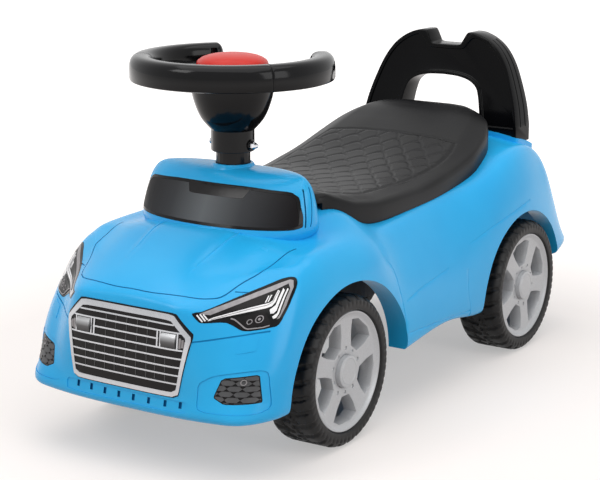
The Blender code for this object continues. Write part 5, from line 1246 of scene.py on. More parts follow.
# %% Lamps
LAMP_GREY = mm([(71.3, 153.8), (96.5, 165.3), (115.4, 174.5), (120.1, 176.4), (122.6, 175.8), (125.2, 170.6),
                (126.2, 156.8), (125.2, 147.6), (123.6, 146.8), (124.6, 151.0), (123.6, 169.8),
                (120.7, 173.6), (114.1, 169.2), (78.5, 152.2)])
LAMP_STRIPS = [
    mm([(78.0, 147.4), (81.2, 148.4), (104.0, 153.2), (113.8, 155.6), (117.2, 157.2), (118.3, 160.4),
        (117.7, 168.1), (115.9, 168.9), (116.0, 161.2), (114.4, 159.6), (81.0, 150.2), (78.6, 149.0)]),
    mm([(116.6, 154.3), (118.1, 151.3), (120.2, 151.4), (121.4, 153.6), (120.6, 168.6), (118.9, 170.2),
        (119.3, 157.6)]),
    mm([(120.0, 149.0), (121.4, 147.2), (123.0, 147.9), (123.7, 151.2), (122.7, 169.4), (121.7, 170.0),
        (122.4, 151.5)]),
    band(mm([(70.0, 153.0), (74.9, 147.0)]), 0.0009),
    band(mm([(72.0, 153.4), (76.6, 147.6)]), 0.0009),
    band(mm([(74.0, 153.2), (77.8, 148.6)]), 0.0008),
    band(mm([(111.6, 164.8), (111.4, 159.8)]), 0.0008),
    band(mm([(113.3, 165.4), (113.1, 160.3)]), 0.0008),
]
LAMP_WEDGE = mm([(80.2, 152.6), (112.9, 168.0), (112.6, 165.8), (110.6, 164.2), (109.8, 159.2),
                 (80.8, 150.9)])
LAMP_POD = mm([(94.5, 148.5), (113.7, 153.0), (119.2, 146.4), (120.4, 143.2), (105.9, 140.6), (102.0, 142.4)])
POD_LINE = band(mm([(91.6, 148.2), (94.4, 147.2), (103.4, 140.3), (105.9, 139.5), (116.5, 140.8),
                    (120.6, 142.2)]), 0.0009)
GREY_LINE = band(mm([(79.6, 148.6), (104.0, 155.4), (113.6, 157.8), (116.4, 160.0), (116.9, 168.0)]), 0.0005)
LENS_RINGS = [((0.1055, 0.1451), (0.0021, 0.0015)), ((0.1120, 0.1472), (0.0030, 0.0023, 0.0010))]
LAMP_SINK = 0.0012
LAMP_CELL = 0.0025


def round_outline(x, z, radius, steps=20):
    return [(x + radius * math.cos(math.tau * step / steps), z + radius * math.sin(math.tau * step / steps))
            for step in range(steps)]


def lamp_layer(label, loops, proud, material, replaced=()):
    """One printed or moulded layer of the lamp, on the left side and mirrored on the right."""
    left = plate(f"headlight_{label}_left", loops, proud, LAMP_SINK + proud, LAMP_CELL)
    finish_pair(left, material, "body", replaced)


lamp_layer("base", [HEADLIGHT_OUTLINE], 0.0001, gloss_black, ["headlight"])
lamp_layer("grey_band", [LAMP_GREY], 0.0003, foil_grey)
lamp_layer("wedge", [LAMP_WEDGE], 0.0005, foil_black)
lamp_layer("light_strips", LAMP_STRIPS, 0.0007, foil_white)
lamp_layer("strip_line", [GREY_LINE], 0.0009, foil_grey)
lamp_layer("pod", [LAMP_POD], 0.0004, foil_black)
lamp_layer("pod_line", [POD_LINE], 0.0007, foil_grey)
lamp_layer("lens_rings", [round_outline(*centre, radius) for centre, radii in LENS_RINGS for radius in radii],
           0.0008, foil_grey)

# %% [markdown]
# The vents beside the nose are black mouldings in a blue surround. Their floor is covered with flat
# six-sided scales, half a scale shifted from row to row. Each scale leans a little, so that the rows
# catch the light.

# %% Vents with scales
SCALE_WIDTH = 0.0135
SCALE_PITCH_X = 0.0127
SCALE_ROW = 0.0046
SCALE_LEAN = 0.0007
SCALE_GAP = 0.0004
SCALE_TIP = 0.0026
SCALE_START = (0.0885, 0.0775)
SCALE_COUNTS = (4, 8)
SCALE_MARGIN = 0.0008
VENT_CELL = 0.004
SENSOR = (0.1139, 0.0968)
SENSOR_RADII = (0.0026, 0.0018)


def clipped(outline, limits):
    """The part of an outline inside a convex outline, corner by corner."""
    area = sum(a[0] * b[1] - b[0] * a[1] for a, b in zip(limits, limits[1:] + limits[:1]))
    for start, end in zip(limits, limits[1:] + limits[:1]):
        kept = []
        for here, after in zip(outline, outline[1:] + outline[:1]):
            side_here, side_after = [
                ((end[0] - start[0]) * (point[1] - start[1]) - (end[1] - start[1]) * (point[0] - start[0]))
                * (1 if area > 0 else -1) for point in (here, after)]
            if side_here >= 0:
                kept.append(here)
            if (side_here >= 0) != (side_after >= 0):
                share = side_here / (side_here - side_after)
                kept.append(tuple(a + (b - a) * share for a, b in zip(here, after)))
        outline = kept
        if len(outline) < 3:
            return []
    return outline


def vent_scales():
    """The left vent's scales, row by row, each clipped to the vent's opening."""
    limits = grown(VENT_OPENING, -SCALE_MARGIN)
    made = []
    for row in range(SCALE_COUNTS[1]):
        z = SCALE_START[1] + row * SCALE_ROW
        for column in range(SCALE_COUNTS[0]):
            x = SCALE_START[0] + SCALE_PITCH_X * (column + 0.5 * (row % 2))
            half = SCALE_WIDTH / 2 - SCALE_GAP
            tip = half - SCALE_TIP
            high = SCALE_ROW / 2 - SCALE_GAP / 2
            scale = [(x - half, z), (x - tip, z - high), (x + tip, z - high), (x + half, z),
                     (x + tip, z + high), (x - tip, z + high)]
            inside = clipped(scale, limits)
            if inside:
                made.append(plate("scale", [inside], -0.0010, 0.0008, VENT_CELL,
                                  lambda _, height, z=z: SCALE_LEAN * (0.5 - (height - z) / SCALE_ROW)))
    return join(made)


vent_floor = plate("fog_vent_floor_left", [VENT_POCKET], -0.0012, 0.0012, VENT_CELL)
surround = plate("fog_vent_surround_left", [VENT_POCKET, VENT_OPENING], -0.0007, 0.0007, VENT_CELL)
scales = vent_scales()
scales.name = "fog_vent_scales_left"
sensor = plate("fog_vent_sensor_left", [round_outline(*SENSOR, radius) for radius in SENSOR_RADII],
               -0.0001, 0.0012, VENT_CELL)
for left, material, replaced in ((vent_floor, foil_black, ["fog_vent"]), (surround, sky_blue, []),
                                 (scales, vent_black, []), (sensor, foil_grey, [])):
    finish_pair(left, material, "body", replaced)

# %% [markdown]
# The windscreen is a printed foil: near black at both ends and grey in the middle, with a black border.
# A black field that hangs from its top edge, a little off the car's middle, is painted shade. The print
# runs across the car, so the ramp reads the distance from the car's middle in metres.

# %% Windscreen
# The outline of the painted shade under the windscreen's top edge.
SCREEN_PAINTED_SHADE = mm([(-28.0, 241.2), (43.0, 241.2), (37.5, 231.6), (-22.5, 231.6)])
SCREEN_REACH = (0.0, 0.088)
SCREEN_CELL = 0.004
BORDER_WIDTH = 0.0024

screen_foil, shader = new_finish("windscreen_printed_foil", "#4A4B4D", 0.42, {"Specular IOR Level": 0.06})
place = ramp_of_print_and_painted_light(screen_foil, shader, "X", SCREEN_REACH, ((0.0, "#66696B"), (0.45, "#3F4042"),
                                                            (1.0, "#171415")), mirrored=True)
grain = add_node(screen_foil, "ShaderNodeTexNoise", {"Scale": per_mm(0.8), "Detail": 2.0}, {"Vector": place})
relief = add_node(screen_foil, "ShaderNodeBump", {"Strength": 0.25, "Distance": 0.00001},
                  {"Height": grain.outputs["Fac"]})
screen_foil.node_tree.links.new(relief.outputs["Normal"], shader.inputs["Normal"])
trim([plate("panel", [SCREEN_OUTLINE], proud=0.0001, depth=0.0014, cell=SCREEN_CELL)], "windscreen_foil",
     screen_foil, ["windscreen_panel"])
trim([plate("border", [SCREEN_OUTLINE, grown(SCREEN_OUTLINE, -BORDER_WIDTH)], proud=0.0003, depth=0.0003)],
     "windscreen_border", gloss_black)
# Painted shade: a black field under the windscreen's top edge.
trim([plate("shade", [softened(SCREEN_PAINTED_SHADE, 0.06, 2)], proud=0.0003, depth=0.0003)],
     "windscreen_top_painted_shade", foil_black)
print("plates:", len(made_pieces) - 1)

# %% [markdown]
# A wheel is a hollow moulded tyre, a rim with five windows, and a hub cap. The tyre's skin is a grid round
# the axle: its radius falls into the gaps between the tread blocks, and studs stand on its shoulder. The
# rim is spun, and its windows are cut by tapered blocks, because a mould needs that taper. One wheel is
# modelled at the axle and copied to the four places.

# %% Tyre
TYRE_RADIUS = 0.0725
TYRE_HALF = 0.026
RIM_RADIUS = 0.0581
BLOCKS = 30
STEPS_PER_BLOCK = 12
BLOCK_GAP = 0.0019
BLOCK_LEAN = 0.55
GAP_RAMP = (0.12, 0.19)
MIDDLE_GAP_AT = 0.0075
MIDDLE_GAP_WAVE = 0.0030
MIDDLE_GAP_RAMP = (0.0008, 0.0018)
MIDDLE_GAP_SHARE = 0.8
TREAD_RAMP = (0.0676, 0.0704)
STUD_HEIGHT = 0.0006
STUD_SHARE = 0.55
STUD_FOOT_RAMP = (0.0640, 0.0650)
STUD_TOP_RAMP = (0.0672, 0.0682)
TYRE_LINE = [
    (0.0581, 0.0232), (0.0592, 0.0250), (0.0610, 0.0256), (0.0632, 0.0254), (0.0648, 0.0252),
    (0.0656, 0.0250), (0.0668, 0.0249), (0.0676, 0.0247), (0.0690, 0.0240), (0.0704, 0.0228),
    (0.0714, 0.0215), (0.0721, 0.0198), (0.0725, 0.0180), (0.0725, 0.0150), (0.0725, 0.0120),
    (0.0725, 0.0096), (0.0725, 0.0070), (0.0725, 0.0048), (0.0725, 0.0026), (0.0725, 0.0008),
]


def tread_gap(turn, across):
    """How deep the gap between tread blocks is at a share of a turn and a distance from the middle."""
    slant = BLOCK_LEAN * abs(across) / TYRE_HALF
    place = (turn * BLOCKS + slant + (0.5 if across < 0 else 0.0)) % 1.0
    between = 1 - step_up(abs(place - 0.5), *GAP_RAMP)
    wave = MIDDLE_GAP_WAVE * math.sin(math.tau * turn * BLOCKS)
    middle = 1 - step_up(abs(abs(across) - MIDDLE_GAP_AT - wave), *MIDDLE_GAP_RAMP)
    return BLOCK_GAP * max(between, MIDDLE_GAP_SHARE * middle)


def make_tyre():
    """The tyre round the x axis: its cross section carried round, lowered at the gaps and studded."""
    around = BLOCKS * STEPS_PER_BLOCK
    line = TYRE_LINE + [(radius, -reach) for radius, reach in TYRE_LINE[::-1]]
    points = []
    for step in range(around):
        turn = step / around
        for radius, across in line:
            depth = tread_gap(turn, across) * step_up(radius, *TREAD_RAMP)
            stud = step_up(radius, *STUD_FOOT_RAMP) * (1 - step_up(radius, *STUD_TOP_RAMP))
            if (turn * 2 * BLOCKS) % 1.0 < STUD_SHARE and stud:
                across += math.copysign(STUD_HEIGHT * stud, across)
            points.append((across, (radius - depth) * math.cos(math.tau * turn),
                           (radius - depth) * math.sin(math.tau * turn)))
    count = len(line)
    faces = []
    for step in range(around):
        here = step * count
        after = (step + 1) % around * count
        for place in range(count):
            follow = (place + 1) % count
            faces.append([here + place, here + follow, after + follow, after + place])
    return face_outwards(mesh_piece("tyre", points, faces))


# %% Rim and hub cap
RIM_LIP = 0.0235
RIM_FACE = 0.0205
RIM_DISC_BACK = 0.008
RIM_BARREL = 0.0040
HUB_RADIUS = 0.0155
HUB_FLOOR = 0.0138
HUB_BACK = 0.0285
HUB_BORE = 0.0045
SPOKES = 5
LUGS = [(0.0, 0.0222, 0.0019), (0.5, 0.0202, 0.0017)]
RIM_CLEARANCE = 0.0003
RIM_CUT_PAST = 0.004
WINDOW_FACE = [(0.0245, 0.26), (0.0370, 0.400), (0.0490, 0.420), (0.0512, 0.20)]
WINDOW_DRAFT = (-0.0006, 0.0022)


def window_cutter(turn):
    """A block between two spokes, wide at the face and drawn in towards the back."""
    half = [(reach * math.cos(spread), reach * math.sin(spread)) for reach, spread in WINDOW_FACE]
    outline = half + [(along, -side) for along, side in half[::-1]]
    rings = []
    for level, draw_in in zip((RIM_FACE + RIM_CUT_PAST, RIM_DISC_BACK - RIM_CUT_PAST), WINDOW_DRAFT):
        flat = grown(outline, -draw_in)
        rings.append([(level, along * math.cos(turn) - side * math.sin(turn),
                       along * math.sin(turn) + side * math.cos(turn)) for along, side in flat])
    return lofted("window", rings)


def make_rim():
    """The rim: a spun barrel, face and hub, with five windows and two rings of lug recesses."""
    outer = RIM_RADIUS - RIM_CLEARANCE
    barrel = outer - RIM_BARREL
    rim = spun("rim", [
        (outer, RIM_LIP - 0.0012), (outer - 0.0006, RIM_LIP), (outer - 0.0016, RIM_LIP),
        (outer - 0.0030, RIM_LIP - 0.0012), (barrel - 0.0010, RIM_FACE + 0.0004), (barrel - 0.0022, RIM_FACE),
        (HUB_RADIUS + 0.0092, RIM_FACE), (HUB_RADIUS + 0.0022, RIM_FACE - 0.0006),
        (HUB_RADIUS + 0.0003, RIM_FACE - 0.0014), (HUB_RADIUS + 0.0003, HUB_FLOOR), (HUB_BORE, HUB_FLOOR),
        (HUB_BORE, -HUB_BACK), (HUB_RADIUS - 0.003, -HUB_BACK), (HUB_RADIUS - 0.003, RIM_DISC_BACK),
        (barrel, RIM_DISC_BACK), (barrel, -RIM_LIP), (outer, -RIM_LIP),
    ], (0, 0, 0), "x", 90)
    windows = [window_cutter(math.tau * (spoke + 0.5) / SPOKES) for spoke in range(SPOKES)]
    lugs = []
    for spoke in range(SPOKES):
        for shift, reach, radius in LUGS:
            turn = math.tau * (spoke + shift) / SPOKES
            centre = (0, reach * math.cos(turn), reach * math.sin(turn))
            lugs.append(spun("lug_recess", [
                (0, RIM_FACE + RIM_CUT_PAST), (radius + 0.0008, RIM_FACE + RIM_CUT_PAST),
                (radius, RIM_FACE - 0.0016), (radius * 0.6, RIM_FACE - 0.0022), (0, RIM_FACE - 0.0022),
            ], centre, "x", 14))
    combine(rim, [join(windows)], "DIFFERENCE")
    combine(rim, [join(lugs)], "DIFFERENCE")
    return round_edges(rim, 0.0005, 2, 30)


def make_hub_cap():
    face = HUB_FLOOR + 0.0107
    return spun("hub_cap", [
        (0, face), (0.0118, face - 0.0002), (0.0122, face - 0.0006), (0.0127, face - 0.0002),
        (0.0145, face - 0.0003), (0.0152, face - 0.0007), (HUB_RADIUS, face - 0.0016),
        (HUB_RADIUS, HUB_FLOOR + 0.0003), (0.0135, HUB_FLOOR + 0.0003), (0.0135, face - 0.0032),
        (0, face - 0.0032),
    ], (0, 0, 0), "x", 72)


TYRE_OUTER_X = 0.1363
WHEEL_MIDDLE_X = TYRE_OUTER_X - TYRE_HALF
WHEEL_PLACES = [("front_left", 1, FRONT_AXLE_Y, 0.30), ("front_right", -1, FRONT_AXLE_Y, 0.95),
                ("rear_left", 1, REAR_AXLE_Y, 1.10), ("rear_right", -1, REAR_AXLE_Y, 0.55)]
wheel_parts = [("tyre", make_tyre(), tyre_black, "tyre_black", 28),
               ("rim", make_rim(), silver_grey, "rim_grey", 28),
               ("hub_cap", make_hub_cap(), silver_grey, "rim_grey", 28)]
for label, pattern, material, slot, angle_deg in wheel_parts:
    for corner, side, y, turn in WHEEL_PLACES:
        piece = bpy.data.objects.new(f"{label}_dressed_{corner}", pattern.data.copy())
        bpy.context.scene.collection.objects.link(piece)
        piece.data.transform(Matrix.Rotation(turn, 4, "X"))
        if side < 0:
            piece.data.transform(Matrix.Diagonal((-1, 1, 1, 1)))
            piece.data.flip_normals()
        piece.data.transform(Matrix.Translation((side * WHEEL_MIDDLE_X, y, TYRE_RADIUS)))
        finish_piece(piece, material, f"wheel_{corner}", [f"{label}_{corner}"], angle_deg)
    print(label, "has", len(pattern.data.polygons), "faces")
    bpy.data.objects.remove(pattern)

# %% [markdown]
# The seat is a lid moulded with a raised field of rounded scales inside a pressed border. The cross
# sections are drawn from front to rear, smooth curves run through them both ways, and the relief is
# added to the height of a fine grid. The lid is then hollowed and cut by the deck that it rests on.

# %% Seat lid
SEAT_ROWS = [
    (.0355, .0735, .2215, .2245, .2250, .2250),
    (.0390, .0765, .2225, .2275, .2285, .2285),
    (.0460, .0800, .2205, .2275, .2290, .2290),
    (.060, .0855, .2165, .2235, .2255, .2260),
    (.087, .0930, .2080, .2150, .2190, .2195),
    (.126, .0985, .2040, .2110, .2140, .2145),
    (.186, .1015, .2045, .2115, .2150, .2155),
    (.246, .1035, .2100, .2185, .2225, .2235),
    (.296, .1035, .2190, .2290, .2350, .2365),
    (.336, .0985, .2310, .2420, .2485, .2505),
    (.366, .0860, .2440, .2535, .2590, .2605),
    (.386, .0580, .2530, .2600, .2635, .2645),
    (.392, .0420, .2510, .2570, .2600, .2605),
]
SEAT_WALL = 0.003
SEAT_FLOOR_Z = 0.170
SEAT_STEPS = 230
SEAT_COLUMNS = 66
PANEL_SIDES = mm([(-104, 50), (-101, 57.5), (-78, 65), (-54, 73), (4, 79), (85, 86), (115, 84), (134, 79.5)])
PANEL_FRONT_Y = -0.105
PANEL_REAR_Y = 0.1415
PANEL_REAR_BOW = 0.006
PANEL_REAR_BOW_X = 0.08
SCALE_ACROSS = 0.026
SCALE_ALONG = 0.0165
SCALE_CROWN = 0.0008
SCALE_RAMP = (0.0, 0.0034)
SCALE_FRONT_SLOPE = 1.6
BORDER_DEPTH = 0.0008
BORDER_RAMP = (0.0006, 0.0020)
PANEL_RAMP = (0.0014, 0.0034)
TOP_SHARE = 0.93
SIDE_SHARES = [0.95, 0.967, 0.980, 0.990, 1.0]
INSET_FROM_SHARE = 0.9
LID_ROOM_DROP = 0.02
DECK_GAP = 0.0004
DECK_DROP = 0.02


def smooth_value(knots, place):
    """A smooth curve through (place, value) knots, flat beyond its ends."""
    if place <= knots[0][0]:
        return knots[0][1]
    if place >= knots[-1][0]:
        return knots[-1][1]
    last = len(knots) - 1
    index = max(spot for spot in range(last) if knots[spot][0] <= place)

    def slope(spot):
        if spot in (0, last):
            near = 0 if spot == 0 else last - 1
            return (knots[near + 1][1] - knots[near][1]) / (knots[near + 1][0] - knots[near][0])
        before = (knots[spot][1] - knots[spot - 1][1]) / (knots[spot][0] - knots[spot - 1][0])
        after = (knots[spot + 1][1] - knots[spot][1]) / (knots[spot + 1][0] - knots[spot][0])
        return 0.0 if before * after <= 0 else 2 * before * after / (before + after)

    (x0, v0), (x1, v1) = knots[index], knots[index + 1]
    gap = x1 - x0
    t = (place - x0) / gap
    return (v0 * (1 + 2 * t) * (1 - t) ** 2 + slope(index) * gap * t * (1 - t) ** 2
            + v1 * t * t * (3 - 2 * t) + slope(index + 1) * gap * t * t * (t - 1))


def scale_relief(x, y):
    """The height of the rounded scales: each bows to the rear and falls to a line round its edge."""
    rise = []
    first = math.floor((y - PANEL_FRONT_Y) / SCALE_ALONG) - 2
    for row in range(first, first + 4):
        shift = (row % 2) * 0.5
        share = ((x / SCALE_ACROSS + shift + 0.5) % 1.0 - 0.5) * 2
        rise.append(PANEL_FRONT_Y + row * SCALE_ALONG + SCALE_ALONG * (1 - share * share))
    above = [edge - y for edge in rise if edge >= y]
    under = [y - edge for edge in rise if edge < y]
    near = min(min(above, default=1.0), min(under, default=1.0) * SCALE_FRONT_SLOPE)
    return SCALE_CROWN * step_up(near, *SCALE_RAMP)


def seat_relief(x, y):
    """What the scales and the pressed border add to the seat's height."""
    side = smooth_value(PANEL_SIDES, y) - abs(x)
    rear = PANEL_REAR_Y - PANEL_REAR_BOW * (x / PANEL_REAR_BOW_X) ** 2 - y
    inside = min(side, y - PANEL_FRONT_Y, rear)
    line = -BORDER_DEPTH * (1 - step_up(abs(inside), *BORDER_RAMP))
    return line + scale_relief(x, y) * step_up(inside, *PANEL_RAMP)


def seat_block(name, inset, floor_z, steps, columns, relief):
    """The seat's solid down to a level, or the room inside it when inset by its wall."""
    start = SEAT_ROWS[0][0] + inset
    end = SEAT_ROWS[-1][0] - inset
    knots = [[(row[0], row[value]) for row in SEAT_ROWS] for value in range(1, 6)]
    shares = [TOP_SHARE * place / columns for place in range(columns + 1)] + SIDE_SHARES
    rings = []
    for step in range(steps + 1):
        behind = start + (end - start) * step / steps
        edge_x, edge_z, shoulder, panel, centre = [smooth_value(line, behind) for line in knots]
        section = [(0, centre), (0.40, centre), (0.74, panel), (TOP_SHARE, shoulder),
                   (0.985, shoulder - 0.003), (1.0, edge_z)]
        y = FRONT_AXLE_Y + behind
        half = []
        for share in shares:
            x = share * edge_x - (inset if share > INSET_FROM_SHARE else 0)
            z = smooth_value(section, share) - inset
            half.append((x, y, z + (seat_relief(x, y) if relief else 0.0)))
        half.append((half[-1][0], y, floor_z))
        rings.append(half[::-1] + [(-x, y, z) for x, y, z in half[1:]])
    return lofted(name, rings)


lid = seat_block("seat", 0.0, SEAT_FLOOR_Z, SEAT_STEPS, SEAT_COLUMNS, True)
lid_room = seat_block("seat_room", SEAT_WALL, SEAT_FLOOR_Z - LID_ROOM_DROP, 60, 16, False)
combine(lid, [lid_room], "DIFFERENCE")
combine(lid, [shell_solid(surface, "deck_under_seat", -DECK_GAP, DECK_DROP)], "DIFFERENCE")
bpy.data.objects.remove(surface)

# %% Seat hinge
EAR_THICKNESS = 0.005
EAR_ROOT_Z = 0.2265
EAR_GAP = 0.0005
LUG_GAP_Z = 0.0003
NOSE_ROOM_DROP = 0.024
NOSE_ROOM_TOP_DROP = 0.003


def block(name, low, high):
    return prism(name, strip(low[0], high[0], low[1], high[1]), low[2], high[2])


edge = SEAT_ROWS[0][1] + HINGE_ROOT
nose_y = FRONT_AXLE_Y + SEAT_ROWS[0][0] - HINGE_ROOT
_, hinge_y, hinge_z = HINGE_PLACE
rooms = [block("nose_room", (-edge, nose_y, hinge_z - NOSE_ROOM_DROP),
               (edge, hinge_y, hinge_z - NOSE_ROOM_TOP_DROP))]
ears = []
for side in (1, -1):
    low, high = span(side, HINGE_LUG_X - EAR_GAP, HINGE_LUG_X + HINGE_LUG_THICKNESS + EAR_GAP)
    rooms.append(block("lug_room", (low, nose_y, hinge_z - HINGE_ROOT),
                       (high, hinge_y, hinge_z + HINGE_EYE + LUG_GAP_Z)))
    reach = span(side, HINGE_LUG_X - EAR_GAP, HINGE_LUG_X - EAR_THICKNESS)
    ears.append(prism("ear", eye_outline(EAR_ROOT_Z, -1), *reach, "x"))
combine(lid, rooms, "DIFFERENCE")
combine(lid, ears, "UNION")
combine(lid, [pin_way()], "DIFFERENCE")
print("seat faces:", len(lid.data.polygons))
finish_piece(lid, satin_black, "seat", ["seat_lid"], 40)
lid.name = "seat_with_scales"

# %% [markdown]
# The backrest is one glossy moulding with two legs that stand in the shell's pockets. Its outline is
# drawn upright and extruded, its face is inset to leave the raised flange that the light picks out, and
# then it is given its depth and its lean.

# %% Backrest
BACKREST_BASE_Z = 0.222
BACKREST_LEAN_Z = 0.240
BACKREST_TOP_Z = 0.340
BACKREST_LEAN = 0.0185
BACKREST_TOP_DEPTH = 0.025
BACKREST_OUTER = [
    (0.0945, 0.0780), (0.0870, 0.0550), (0.0780, 0.0340), (0.0670, 0.0180), (0.0540, 0.0075),
    (0.0400, 0.0015), (0.0290, 0.0002), (0.0250, 0.0020), (0.0205, 0.0100), (0.0165, 0.0145), (0.0, 0.0150),
]
BACKREST_INNER = [
    (0.0, 0.0485), (0.0180, 0.0495), (0.0330, 0.0530), (0.0430, 0.0600), (0.0475, 0.0710), (0.0510, 0.0880),
]
FLANGE = 0.0042
FACE_SINK = 0.0024
FACE_FOOT_Z = 0.2385
FACE_OUTER = [
    (0.0902, 0.0795), (0.0828, 0.0568), (0.0740, 0.0362), (0.0634, 0.0212), (0.0518, 0.0118),
    (0.0400, 0.0064), (0.0335, 0.0066), (0.0285, 0.0110), (0.0235, 0.0172), (0.0185, 0.0192), (0.0, 0.0196),
]
FACE_INNER = [
    (0.0, 0.0443), (0.0185, 0.0453), (0.0350, 0.0492), (0.0466, 0.0575), (0.0516, 0.0702), (0.0552, 0.0880),
]
LEG_GROOVES = (0.34, 0.68)
LEG_GROOVE_RADIUS = 0.0011
LEG_GROOVE_FOOT_Z = 0.239
LEG_GROOVE_POINTS = 5


def flat_curve(points, per=5):
    return [(point.x, point.z) for point in flowing([(x, 0, z) for x, z in points], per)]


def below_top(pairs):
    """Points given as (x, depth below the backrest's top) as (x, z)."""
    return [(x, BACKREST_TOP_Z - below) for x, below in pairs]


def backrest_outline():
    outer = flat_curve([(LEG_OUTER_X, BACKREST_LEAN_Z)] + below_top(BACKREST_OUTER))
    inner = flat_curve(below_top(BACKREST_INNER) + [(LEG_INNER_X, BACKREST_LEAN_Z)])
    outer = [(x, min(z, BACKREST_TOP_Z)) for x, z in outer]
    left = [(LEG_OUTER_X, BACKREST_BASE_Z)] + outer
    outline = left + [(-x, z) for x, z in left[-2::-1]]
    hand_hole = inner + [(LEG_INNER_X, BACKREST_BASE_Z)]
    return outline + [(-x, z) for x, z in hand_hole[::-1]] + hand_hole[1:]


def face_room(near, far):
    """The shallow room behind the flange, kept clear of the notch at the top."""
    outer = flat_curve([(LEG_OUTER_X - FLANGE, FACE_FOOT_Z)] + below_top(FACE_OUTER))
    inner = flat_curve(below_top(FACE_INNER) + [(LEG_INNER_X + FLANGE, FACE_FOOT_Z)])
    outline = outer + [(-x, z) for x, z in outer[-2::-1]]
    return prism("face_room", outline + [(-x, z) for x, z in inner[::-1]] + inner[1:], near, far, "y")


def face_and_depth(z):
    """Where the leaning moulding's front face stands at a height, and how deep it is there."""
    share = max(0.0, (z - BACKREST_LEAN_Z) / (BACKREST_TOP_Z - BACKREST_LEAN_Z))
    depth = BACKREST_DEPTH + (BACKREST_TOP_DEPTH - BACKREST_DEPTH) * share
    return BACKREST_Y + BACKREST_LEAN * share, depth


def leg_grooves():
    """Two bars along each leg's flank, at shares of its depth."""
    line = flat_curve([(LEG_OUTER_X, LEG_GROOVE_FOOT_Z)] + below_top(BACKREST_OUTER[:LEG_GROOVE_POINTS]), 8)
    bars = []
    for side in (1, -1):
        for share in LEG_GROOVES:
            bar = tube("leg_groove", [(side * x, share, z) for x, z in line], LEG_GROOVE_RADIUS)
            for vertex in bar.data.vertices:
                face, depth = face_and_depth(vertex.co.z)
                vertex.co.y += face + (depth - 1) * share
            bars.append(bar)
    return join(bars)


def make_backrest():
    """The moulding is drawn with a depth of one, and then given its real depth and its lean."""
    rest = prism("backrest_moulding", backrest_outline(), 0.0, 1.0, "y")
    sink = FACE_SINK / BACKREST_DEPTH
    combine(rest, [face_room(-0.5, sink), face_room(1 - sink, 1.5)], "DIFFERENCE")
    pick_only(rest)
    bpy.ops.object.mode_set(mode="EDIT")
    bpy.ops.mesh.select_all(action="SELECT")
    bpy.ops.mesh.bisect(plane_co=(0, 0, BACKREST_LEAN_Z), plane_no=(0, 0, 1))
    bpy.ops.object.mode_set(mode="OBJECT")
    for vertex in rest.data.vertices:
        face, depth = face_and_depth(vertex.co.z)
        vertex.co.y = face + depth * vertex.co.y
    rest.data.update()
    bars = leg_grooves()
    round_edges(rest, 0.0012, 3, 48)
    return combine(rest, [bars], "DIFFERENCE")


backrest = make_backrest()
print("backrest faces:", len(backrest.data.polygons))
finish_piece(backrest, rest_black, "body", ["backrest"], 16)

# %% [markdown]
# The steering wheel is a C-shaped rim: a front arc, and two grips that push on from its ends. Its section
# is rounded above and flat below. The section is carried round the column in fine steps, and the grips'
# ends are drawn in to a rounded tip. The bowl and the button are turned pieces, so they are spun.

# %% Steering rim and grips
WHEEL_BOTTOM_Z = 0.336
WHEEL_HEIGHT = 0.024
WHEEL_RADIUS = 0.0969
WHEEL_SECTION = 0.0235
RIM_MIDDLE = (0.5, 0.42)
GRIP_START_DEG = -32.3
GRIP_END_DEG = 43.8
SPOKE_HALF = 0.012
SPOKE_THICKNESS = 0.008
BOWL_RADIUS = 0.0405
BUTTON_RADIUS = 0.034
RIM_SECTION = [
    (0.0, 0.10), (0.03, 0.03), (0.10, 0.0), (0.90, 0.0), (0.97, 0.03), (1.0, 0.10), (1.0, 0.50),
    (0.985, 0.66), (0.94, 0.80), (0.86, 0.91), (0.74, 0.98), (0.60, 1.0), (0.40, 1.0), (0.26, 0.98),
    (0.14, 0.91), (0.06, 0.80), (0.015, 0.66), (0.0, 0.50),
]


def rim_ring(angle, shrink=1.0):
    """The rim's section at an angle round the column, shrunk towards its middle."""
    ring = []
    for across, up in RIM_SECTION:
        across = RIM_MIDDLE[0] + (across - RIM_MIDDLE[0]) * shrink
        up = RIM_MIDDLE[1] + (up - RIM_MIDDLE[1]) * shrink
        radius = WHEEL_RADIUS - WHEEL_SECTION * (1 - across)
        ring.append((radius * math.cos(angle), COLUMN_PLACE[1] + radius * math.sin(angle),
                     WHEEL_BOTTOM_Z + up * WHEEL_HEIGHT))
    return ring


def rim_arc(name, start_deg, end_deg, steps, tips):
    """Part of the rim; tips are (mm beyond the end, shrink) pairs for its start and its end."""
    rings = [rim_ring(math.radians(start_deg) - beyond / 1000 / WHEEL_RADIUS, shrink)
             for beyond, shrink in tips[0][::-1]]
    rings += [rim_ring(math.radians(start_deg + (end_deg - start_deg) * step / steps))
              for step in range(steps + 1)]
    rings += [rim_ring(math.radians(end_deg) + beyond / 1000 / WHEEL_RADIUS, shrink)
              for beyond, shrink in tips[1]]
    return lofted(name, rings)


